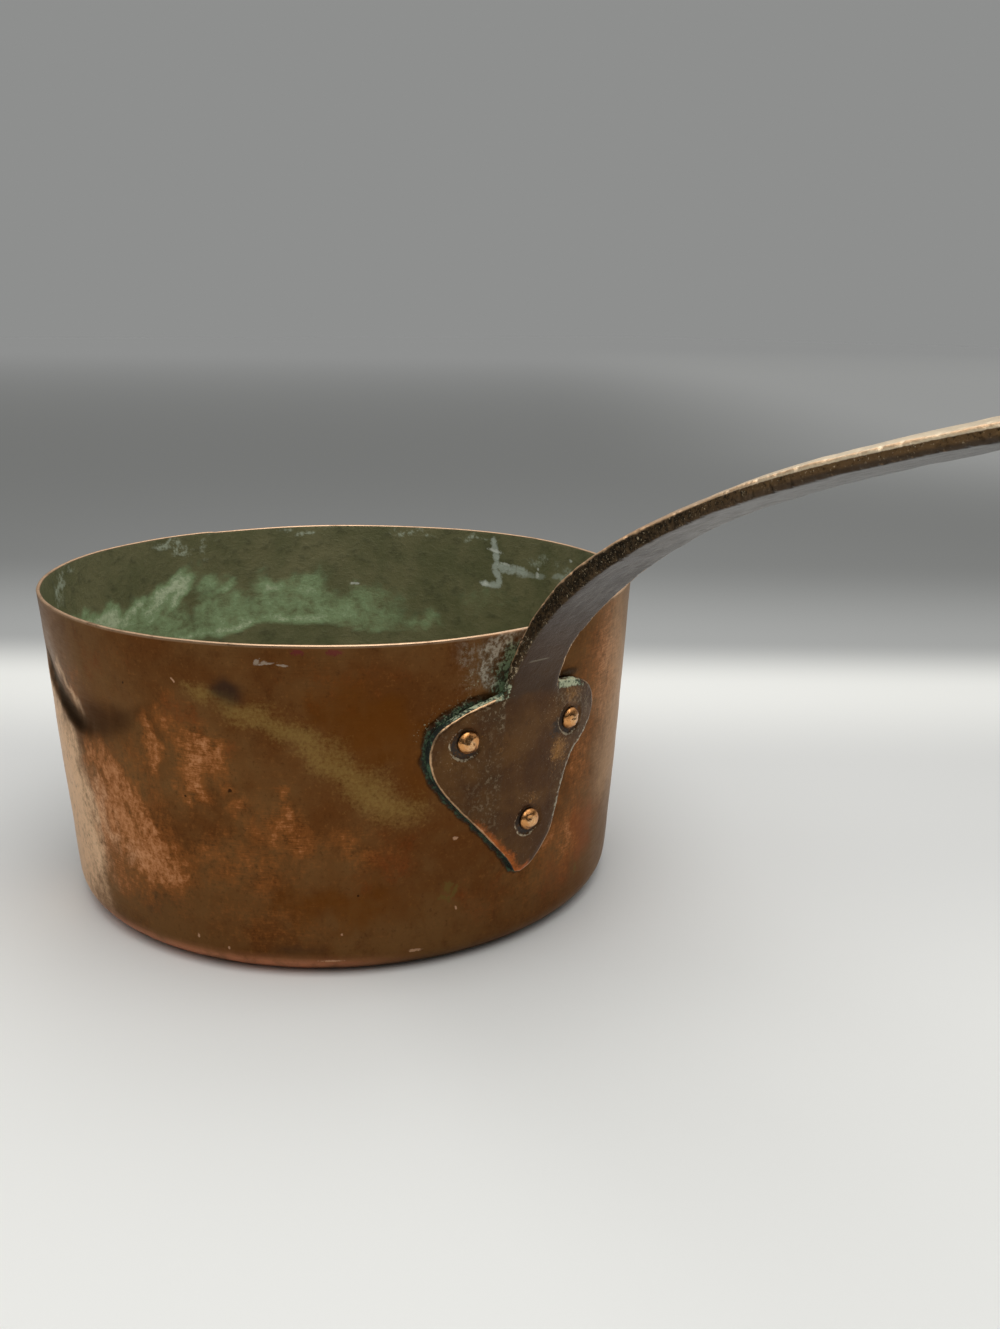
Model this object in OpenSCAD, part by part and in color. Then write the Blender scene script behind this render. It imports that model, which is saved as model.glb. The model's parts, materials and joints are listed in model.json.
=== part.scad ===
// Old copper cooking pot: a raised copper pan with a leaning wall, and a cast handle whose
// heart-shaped plate is held to the wall by three round-headed rivets.
// The origin is on the pan's axis at the table, +Z is up and the handle points along +X.
// "Out" means away from the pan's axis, "across" is along Y, and angles are in degrees.

/* [Pan] */
// Outside diameter at the rim
rim_d = 220; // [195:1:245]
// Height from the table to the rim
pan_h = 114.5; // [100:0.5:130]
// Outside diameter that the wall would have at the table, without its rounded corner
foot_d = 205; // [185:1:215]
// Thickness of the copper sheet
wall_t = 1.3; // [0.8:0.1:3]
// Outside radius of the bottom corner
corner_r = 9.5; // [6:0.5:14]

/* [Dent] */
// Angle round the pan at which the dent lies
dent_az = -97; // [-120:1:-60]
// Height of the dent's middle below the rim
dent_drop = 24.5; // [18:0.5:45]
// Slope of the dent along the wall
dent_tilt = -33; // [-60:1:60]
// Roundness of what struck the dent
dent_r = 30; // [20:1:50]
// Depth of the dent
dent_depth = 1.5; // [0.5:0.1:2.5]

/* [Plate] */
// Height of the plate from its tip to its top
plate_h = 66; // [58:0.5:72]
// Distance from the rim down to the plate's top
plate_drop = 19; // [14:0.5:26]
// Reach of the plate's left lobe from the handle's middle, seen from outside
lobe_left = 34.5; // [30:0.5:38]
// Reach of the plate's right lobe from the handle's middle, seen from outside
lobe_right = 32.5; // [29:0.5:36]
// Thickness of the plate
plate_t = 3.4; // [2.8:0.1:5]

/* [Bar] */
// Length of the bar along its curve, from its root in the plate to its end
bar_l = 232; // [190:1:270]
// Distance from the plate's top down to the bar's root
root_drop = 11.5; // [9:0.5:14]
// Length of the tight curve in which the bar leaves the plate
root_l = 11; // [8:0.5:14]
// Slope of the neck above that curve
neck_slope = 72; // [62:1:78]
// Slope towards which the bar levels out
end_slope = 10.5; // [5:0.5:20]
// Length over which the bar levels out
level_l = 66; // [50:1:80]
// Width of the bar at its root
root_w = 23; // [18:0.5:25]
// How far the root lies to the right of the handle's middle, seen from outside
root_right = 1; // [0:0.5:2]
// Width of the neck
neck_w = 20; // [16:0.5:23]
// Width of the grip
grip_w = 34; // [26:0.5:40]
// Thickness of the bar's sides at its bend
bend_t = 5.2; // [4.5:0.1:7]
// Thickness of the grip's sides
grip_t = 4; // [3:0.1:5.5]
// Height by which the bar's upper face is crowned above its sides
crown_h = 2; // [0.5:0.1:3]
// Radius of the bar's rounded lower edges
edge_r = 1.5; // [0.6:0.1:1.8]
// Diameter of the hanging hole
hole_d = 12; // [8:0.5:16]

/* [Rivets] */
// Diameter of a rivet's shank
shank_d = 5; // [4:0.1:5.6]
// Diameter of a rivet's round outer head
head_d = 7.8; // [7:0.1:9]
// Height of the outer head above its seat
head_h = 2.7; // [2:0.1:3.6]
// Diameter of the flat mark that the riveting left round an outer head
seat_d = 11; // [9.5:0.5:12]
// Depth of that mark
seat_depth = 0.5; // [0.3:0.1:0.9]
// Diameter of the low head inside the pan
inner_head_d = 10; // [8:0.5:12]
// Height of the low head inside the pan
inner_head_h = 1.6; // [1:0.1:2.4]
// Distance of the two upper rivets from the tips of their lobes
rivet_inset = 13; // [10.5:0.5:15]
// Distance of the two upper rivets below the plate's top
rivet_drop = 14.5; // [12:0.5:18]
// Height of the lower rivet above the plate's tip
low_rivet_rise = 19.5; // [16:0.5:22]
// Distance of the lower rivet from the handle's middle, seen from outside
low_rivet_right = 3; // [0:0.5:4]
// Clearance between the pieces
fit_gap = 0.1; // [0.05:0.05:0.2]

/* [Hidden] */
eps = 0.01;
over = 1;
round_fn = 120;
small_fn = 32;

// The wall, and the middle of its rounded corner
lean = atan((rim_d - foot_d) / 2 / pan_h);
corner_x = foot_d / 2 - corner_r * (1 - sin(lean)) / cos(lean);

// Heights on the wall
plate_top = pan_h - plate_drop;
plate_tip = plate_top - plate_h;
root_z = plate_top - root_drop;
upper_rivet_z = plate_top - rivet_drop;
low_rivet_z = plate_tip + low_rivet_rise;
dent_z = pan_h - dent_drop;

// Places across the plate, where right is +Y when the handle is seen from outside, and the
// half turn of the ring that it is cut from
shell_turn = 30;
left_rivet_y = -(lobe_left - rivet_inset);
right_rivet_y = lobe_right - rivet_inset;

// The bar: where its stages lie along its length
path_step = 1;
ring_step = 4;
neck_at = 36;
crown_at = 45;
bend_at = 62;
grip_at = 115;
widen_from = 98;
widen_to = 165;
end_r = grip_w / 2;
end_turn = 11;
end_last = 88;
hole_at = bar_l - end_r;
root_inset = 0.35;
edge_share = 0.8;
root_t = plate_t - 2 * root_inset - sagitta(plate_back(root_z), root_w / 2 + root_right);

// Outside radius of the wall at height z
function wall_r(z) = (foot_d + (rim_d - foot_d) * z / pan_h) / 2;

// Radius of the plate's back at height z
function plate_back(z) = wall_r(z) + fit_gap / cos(lean);

// How far a circle of radius r falls away from its tangent at the distance w
function sagitta(r, w) = r - sqrt(r * r - w * w);

// An even step from 0 to 1 that starts and ends level
function ease(a) = (1 - cos(180 * max(0, min(1, a)))) / 2;

// A value between a and b
function mix(a, b, k) = a + (b - a) * k;

// A smooth curve through the points p, with n steps from each point to the next
function curve(p, n) = [
    for (i = [0 : len(p) - 2], k = [0 : n - 1]) curve_point(p, i, k / n),
    p[len(p) - 1]
];
function curve_point(p, i, t) =
    let (
        a = p[max(i - 1, 0)],
        b = p[i],
        c = p[i + 1],
        d = p[min(i + 2, len(p) - 1)]
    )
    b + ((c - a) * t + (2 * a - 5 * b + 4 * c - d) * t * t + (3 * b - a - 3 * c + d) * t * t * t) / 2;

// The plate's two sides from its tip to the neck: the reach to the side as a share of the
// lobe's reach, and the height as a share of the plate's. Being made by hand, they differ.
left_side = [
    [0.04, 0], [0.14, 0.09], [0.43, 0.27], [0.76, 0.46], [0.94, 0.6],
    [1, 0.73], [0.93, 0.84], [0.7, 0.92], [0.4, 0.97], [0.25, 0.99]
];
right_side = [
    [0.04, 0], [0.2, 0.04], [0.4, 0.16], [0.49, 0.3], [0.54, 0.42],
    [0.67, 0.57], [0.9, 0.69], [1, 0.79], [0.93, 0.91], [0.7, 0.98], [0.4, 1]
];
function plate_side(side, reach) = [for (p = curve(side, 4)) [p.x * reach, plate_tip + p.y * plate_h]];

// The wall's outline in section, from the axis to the outside, drawn "inset" from its surface
module pan_section(inset, top) {
    r = corner_r - inset;
    touch = [corner_x + r * cos(lean), corner_r - r * sin(lean)];
    rim = [wall_r(top) - inset / cos(lean), top];
    union() {
        polygon([[0, inset], [corner_x, inset], touch, rim, [0, top]]);
        intersection() {
            translate([corner_x, corner_r]) circle(r = r, $fn = small_fn);
            polygon([
                [corner_x, corner_r], [corner_x, inset], [corner_x + 2 * r, inset],
                [corner_x + 2 * r, touch.y], touch
            ]);
        }
    }
}

// The bar that struck the dent, as a cylinder that lies against the wall
module dent_tool(grown) {
    rotate([0, 0, dent_az])
        translate([wall_r(dent_z) + dent_r - dent_depth, 0, dent_z])
            rotate([90 + dent_tilt, 0, 0])
                cylinder(r = dent_r + grown, h = 4 * dent_r, center = true, $fn = round_fn);
}

// Puts its children on the wall at y across and z up, with their +Z along the rivet
module on_wall(y, z) {
    rotate([0, 0, asin(y / wall_r(z))])
        translate([wall_r(z), 0, z])
            rotate([0, 90 + lean, 0])
                children();
}

module rivet_places() {
    on_wall(left_rivet_y, upper_rivet_z) children();
    on_wall(right_rivet_y, upper_rivet_z) children();
    on_wall(low_rivet_right, low_rivet_z) children();
}

module shank_hole() {
    cylinder(d = shank_d + 2 * fit_gap, h = 4 * (plate_t + wall_t), center = true, $fn = small_fn);
}

module pan_body() {
    color("#8a4f2b")
        difference() {
            rotate_extrude($fn = round_fn) pan_section(0, pan_h);
            dent_tool(0);
            difference() {
                rotate_extrude($fn = round_fn) pan_section(wall_t, pan_h + over);
                dent_tool(wall_t);
            }
            rivet_places() shank_hole();
        }
}

// The part of a ring round the wall in which the plate lies, between its back and its face
module plate_shell() {
    low = plate_tip - over;
    high = plate_top + over;
    rotate([0, 0, -shell_turn])
        rotate_extrude(angle = 2 * shell_turn, $fn = round_fn)
            polygon([
                [plate_back(low), low],
                [plate_back(low) + plate_t / cos(lean), low],
                [plate_back(high) + plate_t / cos(lean), high],
                [plate_back(high), high]
            ]);
}

module plate() {
    left = [for (p = plate_side(left_side, lobe_left)) [-p.x, p.y]];
    right = plate_side(right_side, lobe_right);
    outline = concat(right, [for (i = [len(left) - 1 : -1 : 1]) left[i]]);
    intersection() {
        plate_shell();
        rotate([90, 0, 90]) linear_extrude(height = rim_d) polygon(outline);
    }
}

// The slope of the bar at the distance s along it: a short arc from the wall's own slope to
// the neck's, and then a curve that levels out ever more slowly
function slope(s) = s < root_l
    ? mix(90 - lean, neck_slope, s / root_l)
    : end_slope + (neck_slope - end_slope) * exp((root_l - s) / level_l);

// The bar's middle line, one point for each step along it
path = [
    for (
        s = 0, x = plate_back(root_z) + root_inset + root_t / 2, z = root_z;
        s <= bar_l + path_step;
        x = x + path_step * cos(slope(s + path_step / 2)),
        z = z + path_step * sin(slope(s + path_step / 2)),
        s = s + path_step
    ) [x, z]
];
function path_at(s) =
    let (i = floor(s / path_step), k = s / path_step - i)
    mix(path[i], path[i + 1], k);

function bar_t(s) = s < bend_at
    ? mix(root_t, bend_t, ease(s / bend_at))
    : mix(bend_t, grip_t, ease((s - bend_at) / (grip_at - bend_at)));
function bar_w(s) =
    s < neck_at ? mix(root_w, neck_w, ease(s / neck_at)) :
    s < hole_at ? mix(neck_w, grip_w, ease((s - widen_from) / (widen_to - widen_from))) :
    2 * sqrt(max(0, end_r * end_r - (s - hole_at) * (s - hole_at)));
function bar_crown(s) = crown_h * ease(s / crown_at) * min(1, bar_w(s) / neck_w);

// The bar's section at the distance s, as points across and up from its middle: a flat
// underside with rounded edges, upright sides and a crowned top
function bar_section(w, t, crown) =
    let (e = min(edge_r, edge_share * min(w, t)))
    concat(
        [for (turn = [180, 210, 240, 270]) [e - w + e * cos(turn), e - t + e * sin(turn)]],
        [for (turn = [270, 300, 330, 360]) [w - e + e * cos(turn), e - t + e * sin(turn)]],
        [for (u = [1, 0.93, 0.7, 0.35, 0, -0.35, -0.7, -0.93, -1]) [u * w, t + crown * (1 - u * u)]]
    );
function bar_ring(s) =
    let (
        c = path_at(s),
        a = slope(s),
        shift = root_right * (1 - ease(s / neck_at))
    )
    [
        for (p = bar_section(bar_w(s) / 2, bar_t(s) / 2, bar_crown(s)))
            [c.x - p.y * sin(a), p.x + shift, c.y + p.y * cos(a)]
    ];

module bar() {
    along = concat(
        [for (s = [0 : ring_step : hole_at - 1]) s],
        [for (turn = [0 : end_turn : end_last]) hole_at + end_r * sin(turn)]
    );
    rings = [for (s = along) bar_ring(s)];
    count = len(rings[0]);
    last = (len(rings) - 1) * count;
    sides = [
        for (i = [0 : len(rings) - 2], j = [0 : count - 1])
            let (
                a = i * count + j,
                b = i * count + (j + 1) % count,
                c = b + count,
                d = a + count
            )
            each [[a, c, b], [a, d, c]]
    ];
    ends = [
        [for (j = [0 : count - 1]) j],
        [for (j = [count - 1 : -1 : 0]) last + j]
    ];
    polyhedron(points = [for (ring = rings) each ring], faces = concat(sides, ends));
}

// The hanging hole stands square to the bar
module hanging_hole() {
    c = path_at(hole_at);
    translate([c.x, 0, c.y])
        rotate([0, -slope(hole_at), 0])
            cylinder(d = hole_d, h = 4 * (grip_t + crown_h), center = true, $fn = small_fn);
}

module handle() {
    color("#4c3a2c")
        difference() {
            union() {
                plate();
                bar();
            }
            rivet_places() {
                shank_hole();
                translate([0, 0, fit_gap + plate_t - seat_depth])
                    cylinder(d = seat_d, h = 2 * plate_t, $fn = small_fn);
            }
            hanging_hole();
        }
}

// A low dome on its flat side, with the diameter d and the height h
module dome(d, h) {
    ball_r = (d * d / 4 + h * h) / (2 * h);
    rotate_extrude($fn = small_fn)
        intersection() {
            translate([0, h - ball_r]) circle(r = ball_r, $fn = small_fn);
            square([d, h]);
        }
}

// A rivet on the wall's outer face: the outer head stands in its mark, and the inner head
// keeps clear of the hollow of the wall
module rivet(y, z) {
    outer_seat = fit_gap + plate_t - seat_depth;
    inner_seat = wall_t + fit_gap + sagitta(wall_r(z) - wall_t, inner_head_d / 2);
    color("#c98a4b")
        on_wall(y, z)
            union() {
                translate([0, 0, outer_seat]) dome(head_d, head_h);
                translate([0, 0, -inner_seat - eps])
                    cylinder(d = shank_d, h = inner_seat + outer_seat + 2 * eps, $fn = small_fn);
                translate([0, 0, -inner_seat]) mirror([0, 0, 1]) dome(inner_head_d, inner_head_h);
            }
}

module rivet_left() {
    rivet(left_rivet_y, upper_rivet_z);
}

module rivet_right() {
    rivet(right_rivet_y, upper_rivet_z);
}

module rivet_bottom() {
    rivet(low_rivet_right, low_rivet_z);
}

pan_body();
handle();
rivet_left();
rivet_right();
rivet_bottom();
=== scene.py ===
# %% [markdown]
# # An old copper cooking pot
# The pot is a pan raised by hand from one sheet of copper, and a cast handle that three
# rivets hold to it. The imported CAD model gives their sizes and places, but for a few small
# ones of the bar and the rim. This lesson gives the same pieces their worn edges, the fold of
# their dent, their pitted skin and their colours. Some light is painted into those colours too:
# highlights on edges, reflections on the wall, and shade in the dent and round the rivets.

# %% Load the imported model
import functools
import json
import math

import bmesh
import bpy
import numpy as np
from mathutils import Matrix, Vector
from mathutils.geometry import delaunay_2d_cdt

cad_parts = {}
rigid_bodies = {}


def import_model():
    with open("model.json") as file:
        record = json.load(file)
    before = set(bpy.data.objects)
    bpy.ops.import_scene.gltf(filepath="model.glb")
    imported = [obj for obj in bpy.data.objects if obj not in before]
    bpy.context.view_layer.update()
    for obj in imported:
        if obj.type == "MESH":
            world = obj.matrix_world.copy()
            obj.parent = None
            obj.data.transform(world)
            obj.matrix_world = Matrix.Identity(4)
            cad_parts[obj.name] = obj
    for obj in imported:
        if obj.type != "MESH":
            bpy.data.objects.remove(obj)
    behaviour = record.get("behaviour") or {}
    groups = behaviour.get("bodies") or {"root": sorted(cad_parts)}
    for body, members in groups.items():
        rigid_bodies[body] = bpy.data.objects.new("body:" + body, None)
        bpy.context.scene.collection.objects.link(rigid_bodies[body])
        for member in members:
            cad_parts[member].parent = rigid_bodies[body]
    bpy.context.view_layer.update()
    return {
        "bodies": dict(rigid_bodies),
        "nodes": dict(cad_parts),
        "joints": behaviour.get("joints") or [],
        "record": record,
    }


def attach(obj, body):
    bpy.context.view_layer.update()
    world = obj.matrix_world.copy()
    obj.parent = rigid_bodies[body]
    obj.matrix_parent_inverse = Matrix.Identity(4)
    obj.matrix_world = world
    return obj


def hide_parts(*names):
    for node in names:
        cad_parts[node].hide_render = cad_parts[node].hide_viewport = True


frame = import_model()

# %% [markdown]
# ## The camera
# The camera stands where the photographer stood. Its place and its lens were worked out
# from the ellipse of the rim, so the pot fills the same part of the frame. Blender's sensor
# width belongs to the longer side of the picture, which is its height here.

# %% Set up the camera
PICTURE_HEIGHT = 1329
FOCAL_PIXELS = 1229.8
SENSOR = 36
EYE = (0.39736, -0.24186, 0.20977)
HEADING, PITCH, ROLL = math.radians(51.2), math.radians(74.07), 0.012

camera_data = bpy.data.cameras.new("camera")
camera_data.sensor_width = SENSOR
camera_data.lens = FOCAL_PIXELS * SENSOR / PICTURE_HEIGHT
camera_data.clip_start, camera_data.clip_end = 0.01, 50
camera = bpy.data.objects.new("camera", camera_data)
bpy.context.scene.collection.objects.link(camera)
camera.matrix_world = (
    Matrix.Translation(EYE)
    @ Matrix.Rotation(HEADING, 4, "Z")
    @ Matrix.Rotation(PITCH, 4, "X")
    @ Matrix.Rotation(ROLL, 4, "Z")
)
bpy.context.scene.camera = camera
print("lens", round(camera_data.lens, 2), "mm")

# %% [markdown]
# ## Sizes
# The CAD source works in millimetres, and these are its own numbers. Shapes are worked out
# in millimetres too, and turned into metres once, when a mesh is made.

# %% The pot's sizes
MM = 0.001
RIM_D, PAN_H, FOOT_D, WALL_T, CORNER_R = 220, 114.5, 205, 1.3, 9.5
PLATE_TOP, PLATE_H, PLATE_T, FIT_GAP = 95.5, 66, 3.4, 0.1
LOBE_LEFT, LOBE_RIGHT = 34.5, 32.5
PLATE_TIP = PLATE_TOP - PLATE_H
LEAN = math.atan((RIM_D - FOOT_D) / 2 / PAN_H)
CORNER_X = FOOT_D / 2 - CORNER_R * (1 - math.sin(LEAN)) / math.cos(LEAN)


def wall_r(z):
    """Outside radius of the pan's wall at height z."""
    return (FOOT_D + (RIM_D - FOOT_D) * z / PAN_H) / 2


def plate_back(z):
    """Radius of the handle plate's back, which stands just clear of the wall."""
    return wall_r(z) + FIT_GAP / math.cos(LEAN)


# %% Small helpers for shapes
def smooth(low, high, x):
    """A soft step from 0 at low to 1 at high."""
    t = np.clip((x - low) / (high - low), 0, 1)
    return t * t * (3 - 2 * t)


def peak(x, middle, wide):
    """A soft peak: 1 at its middle, and about a third of that a width away."""
    return np.exp(-(((x - middle) / wide) ** 2))


def swell(points, size, seed):
    """Gentle random waves over points, from about -1 to 1, a size apart."""
    rng = np.random.default_rng(seed)
    total = np.zeros(len(points))
    waves = 7
    for _ in range(waves):
        way = rng.normal(size=3)
        way /= np.linalg.norm(way)
        length = size * rng.uniform(0.7, 1.6)
        total += np.sin(points @ way * 2 * math.pi / length + rng.uniform(0, 6.28))
    return total / math.sqrt(waves)


def line_distance(u, v, line):
    """Distance from each point (u, v) to a line of points, and the share run along it."""
    best, share = np.full(len(u), 1e9), np.zeros(len(u))
    steps = np.hypot(*(np.diff(line, axis=0).T))
    run = np.concatenate([[0], np.cumsum(steps)])
    for (a, b), start, step in zip(zip(line[:-1], line[1:]), run, steps):
        du, dv = b[0] - a[0], b[1] - a[1]
        t = np.clip(((u - a[0]) * du + (v - a[1]) * dv) / step**2, 0, 1)
        d = np.hypot(u - a[0] - t * du, v - a[1] - t * dv)
        near = d < best
        best[near] = d[near]
        share[near] = ((start + t * step) / run[-1])[near]
    return best, share


def new_piece(name, points_mm, faces):
    """A smooth-shaded object at the origin, from points in millimetres."""
    mesh = bpy.data.meshes.new(name)
    mesh.from_pydata((np.asarray(points_mm) * MM).tolist(), [], faces)
    mesh.shade_smooth()
    piece = bpy.data.objects.new(name, mesh)
    bpy.context.scene.collection.objects.link(piece)
    return piece


def points_of(mesh):
    """A mesh's points in millimetres, one row each."""
    flat = np.empty(3 * len(mesh.vertices), np.float32)
    mesh.vertices.foreach_get("co", flat)
    return flat.reshape(-1, 3).astype(float) / MM


def place_points(mesh, points_mm):
    """Puts a mesh's points at places in millimetres."""
    mesh.vertices.foreach_set("co", (points_mm * MM).astype(np.float32).ravel())
    mesh.update()


def store(mesh, **masks):
    """Keeps one number for each point, for the material to read by name."""
    for name, values in masks.items():
        layer = mesh.attributes.new(name, "FLOAT", "POINT")
        layer.data.foreach_set("value", values.astype(np.float32))


def settled(piece):
    """Turns a piece and its modifiers into a plain mesh, and takes the modifiers off."""
    graph = bpy.context.evaluated_depsgraph_get()
    mesh = bpy.data.meshes.new_from_object(piece.evaluated_get(graph))
    piece.modifiers.clear()
    piece.data = mesh
    return piece


# %% [markdown]
# ## The plate's outline
# The heart shape of the plate was cut by eye, so its two sides differ. Each side is a smooth
# curve through a few points, given as shares of the lobe's reach and of the plate's height.
# The pan needs this outline as well: verdigris has crept out from under the plate's edge.

# %% Draw the outline
LEFT_SIDE = [
    (0.04, 0), (0.14, 0.09), (0.43, 0.27), (0.76, 0.46), (0.94, 0.6),
    (1, 0.73), (0.93, 0.84), (0.7, 0.92), (0.4, 0.97), (0.25, 0.99),
]
RIGHT_SIDE = [
    (0.04, 0), (0.2, 0.04), (0.4, 0.16), (0.49, 0.3), (0.54, 0.42),
    (0.67, 0.57), (0.9, 0.69), (1, 0.79), (0.93, 0.91), (0.7, 0.98), (0.4, 1),
]


def smooth_curve(points, steps):
    """A Catmull-Rom curve through the points."""
    p = np.array(points, float)
    out = []
    for i in range(len(p) - 1):
        a, b, c, d = p[max(i - 1, 0)], p[i], p[i + 1], p[min(i + 2, len(p) - 1)]
        for k in range(steps):
            t = k / steps
            out.append(
                b + ((c - a) * t + (2 * a - 5 * b + 4 * c - d) * t**2
                     + (3 * b - a - 3 * c + d) * t**3) / 2
            )
    return np.array([*out, p[-1]])


CURVE_STEPS = 8
scale_left, scale_right = np.array([-LOBE_LEFT, PLATE_H]), np.array([LOBE_RIGHT, PLATE_H])
left_edge = smooth_curve(LEFT_SIDE, CURVE_STEPS) * scale_left + (0, PLATE_TIP)
right_edge = smooth_curve(RIGHT_SIDE, CURVE_STEPS) * scale_right + (0, PLATE_TIP)
outline = np.vstack([right_edge, left_edge[:0:-1]])


def inside_outline(y, z):
    """Whether each point (y, z) lies within the plate's outline."""
    inside = np.zeros(len(y), bool)
    for (y0, z0), (y1, z1) in zip(outline, np.roll(outline, -1, axis=0)):
        crosses = (z0 > z) != (z1 > z)
        with np.errstate(divide="ignore", invalid="ignore"):
            at = y0 + (z - z0) * (y1 - y0) / (z1 - z0)
        inside ^= crosses & (y < at)
    return inside


def outline_depth(y, z):
    """How far inside the outline each point lies, below 0 for outside."""
    ring = np.vstack([outline, outline[:1]])
    distance, _ = line_distance(y, z, ring)
    return np.where(inside_outline(y, z), distance, -distance)


print("plate outline", len(outline), "points")

# %% [markdown]
# ## The pan
# A coppersmith raised the wall over a stake, so it is round only to the eye. The pan is made
# as a lathe would make it, one profile turned round the axis, and each point is then pushed
# in or out a little. Rows and columns lie closer together where there is more to show:
# round the handle's plate and at the dent.

# %% The pan's profile, from the middle of the base, over the rim, to the inside's middle
BEVEL = 0.42
OUTSIDE, INSIDE = 0, 1


def arc(x, z, r, start, stop, steps, side):
    """Profile rows along an arc: radius, height, and the sheet's side."""
    return [(x + r * math.cos(t), z + r * math.sin(t), side)
            for t in np.radians(np.linspace(start, stop, steps))]


lean_deg = math.degrees(LEAN)
level_t = WALL_T / math.cos(LEAN)
wall_foot = CORNER_R - CORNER_R * math.sin(LEAN)
rim_in = wall_r(PAN_H) - level_t
rows_z = np.concatenate([
    np.arange(wall_foot + 1.5, 24, 1.6), np.arange(24, PAN_H - BEVEL - 0.4, 0.86)
])
profile = np.array(
    [(r, 0, OUTSIDE) for r in np.linspace(8, CORNER_X - 4, 10)]
    + arc(CORNER_X, CORNER_R, CORNER_R, -90, -lean_deg, 10, OUTSIDE)
    + [(wall_r(z), z, OUTSIDE) for z in rows_z]
    + arc(wall_r(PAN_H) - BEVEL, PAN_H - BEVEL, BEVEL, 0, 90, 4, OUTSIDE)
    + arc(rim_in + BEVEL, PAN_H - BEVEL, BEVEL, 90, 180, 4, OUTSIDE)
    + [(wall_r(z) - level_t, z, INSIDE) for z in np.arange(PAN_H - BEVEL - 1, CORNER_R + 1, -2.1)]
    + arc(CORNER_X, CORNER_R, CORNER_R - WALL_T, -lean_deg, -90, 7, INSIDE)
    + [(r, WALL_T, INSIDE) for r in np.linspace(CORNER_X - 6, 8, 9)]
)
print("profile", len(profile), "rows")

# %% Turn the profile round the axis
FINE, MEDIUM, PLAIN, COARSE = 0.3, 0.6, 0.95, 1.7
turns = np.radians(np.concatenate([
    np.arange(-23, 25, FINE), np.arange(25, 244, COARSE),
    np.arange(244, 296, MEDIUM), np.arange(296, 336.5, PLAIN),
]))
count = len(turns)
radius, height, side = (np.repeat(column, count) for column in profile.T)
turn = np.tile(turns, len(profile))
azimuth = (np.degrees(turn) + 180) % 360 - 180
round_wall = np.column_stack([np.cos(turn) * radius, np.sin(turn) * radius, height])
print("pan", len(profile), "rows of", count)

# %% [markdown]
# ### The dent and the hand-made wall
# Something struck the wall at the left. The sheet gave way in a shallow hollow. Its lower lip
# is a sharp fold at the left and grows soft towards the right, and above it the sheet springs
# back slowly. The rim is out of round as well, and stands a little up at the handle's right.

# %% Push the wall in and out
WALL_MEAN = 107
DENT_DEEP, SPRING_BACK = 1.75, 15
OUT_OF_ROUND, FAR_SAG, HANDLE_LIFT = 0.9, 0.5, 2.0
DENT_LIP = [(-110, 93), (-103, 84), (-99, 81), (-94.4, 78.6), (-90.8, 75.6), (-86.5, 73), (-82, 72.4),
            (-77, 74.6), (-72, 78.6), (-67, 84), (-63, 90)]
arc_mm = np.radians(azimuth) * WALL_MEAN
lip = np.array([(math.radians(a) * WALL_MEAN, z) for a, z in DENT_LIP])
over_lip = height - np.interp(arc_mm, lip[:, 0], lip[:, 1])
lip_d, lip_share = line_distance(arc_mm, height, lip)
into = np.where(over_lip > 0, lip_d, 0)
lip_wide = 3.1 + 3.6 * smooth(0.45, 0.75, lip_share)
dent_deep = DENT_DEEP * smooth(0, 0.15, lip_share) * smooth(1.0, 0.7, lip_share)
dent = dent_deep * (1 - peak(into, 0, lip_wide)) * peak(into, 0, SPRING_BACK)
bulge = 0.35 * peak(arc_mm, -166, 16) * peak(height, 64, 9)

wander = 0.22 * swell(round_wall, 62, 3) + 0.06 * swell(round_wall, 19, 4)
oval = -OUT_OF_ROUND * peak(azimuth, 105, 55) * smooth(20, PAN_H, height)
push_out = smooth(2, 14, height) * (wander + oval - dent + bulge)
rise_by = -FAR_SAG * peak(azimuth, 150, 50) * smooth(60, PAN_H, height)
rise_by += HANDLE_LIFT * peak(azimuth, 31, 17) * smooth(70, PAN_H, height)
rim_wave = 0.16 * swell(np.column_stack([round_wall[:, :2], 0 * height]), 70, 5)
pan_points = round_wall.copy()
pan_points[:, 0] += np.cos(turn) * push_out
pan_points[:, 1] += np.sin(turn) * push_out
pan_points[:, 2] += rise_by + rim_wave * smooth(80, PAN_H, height)
print("dent", round(float(dent.max()), 2), "mm deep")

# %% [markdown]
# ### The crust along the plate
# Salt and damp turn copper into verdigris where air can't dry it, along the joint of plate
# and wall. It is a real layer here, about a millimetre thick, so its edge casts a shadow.

# %% Raise the crust on the wall beside the plate
CRUST, FAR_OFF = 0.9, 99.0
edge_depth = np.full(len(azimuth), -FAR_OFF)
near = (np.abs(azimuth) < 24) & (side == OUTSIDE) & (height > 20)
edge_depth[near] = outline_depth(pan_points[near, 1], height[near])
gap = np.maximum(-edge_depth, 0)
leftward = smooth(8, -6, pan_points[:, 1] + 0.35 * (height - 45))
left_only = np.where(pan_points[:, 1] < 6, leftward, 0)
crumble = 0.5 + 0.5 * swell(round_wall, 5.0, 8)
fine_crumble = 0.5 + 0.5 * swell(round_wall, 1.9, 9)
in_notch = peak(azimuth, -5.5, 3.0) * peak(height, 94, 4.5)
over_right_lobe = peak(azimuth, 11.8, 4.2) * peak(height, 95.6, 1.3)
crust_reach = 0.75 + 0.6 * crumble + 1.5 * smooth(80, 92, height) - 0.15 * smooth(66, 54, height)
crust_reach = np.maximum(crust_reach + 2.4 * in_notch, 0.5)
crust = np.maximum(peak(gap, 0, crust_reach) * left_only, 0.4 * over_right_lobe)
crust = crust * smooth(-4, -0.5, edge_depth) * near
crust_lift = CRUST * crust * (0.35 + 0.4 * crumble + 0.25 * fine_crumble)
pan_points[:, 0] += np.cos(turn) * crust_lift
pan_points[:, 1] += np.sin(turn) * crust_lift
print("crust", round(float(crust_lift.max()), 2), "mm high")

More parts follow.
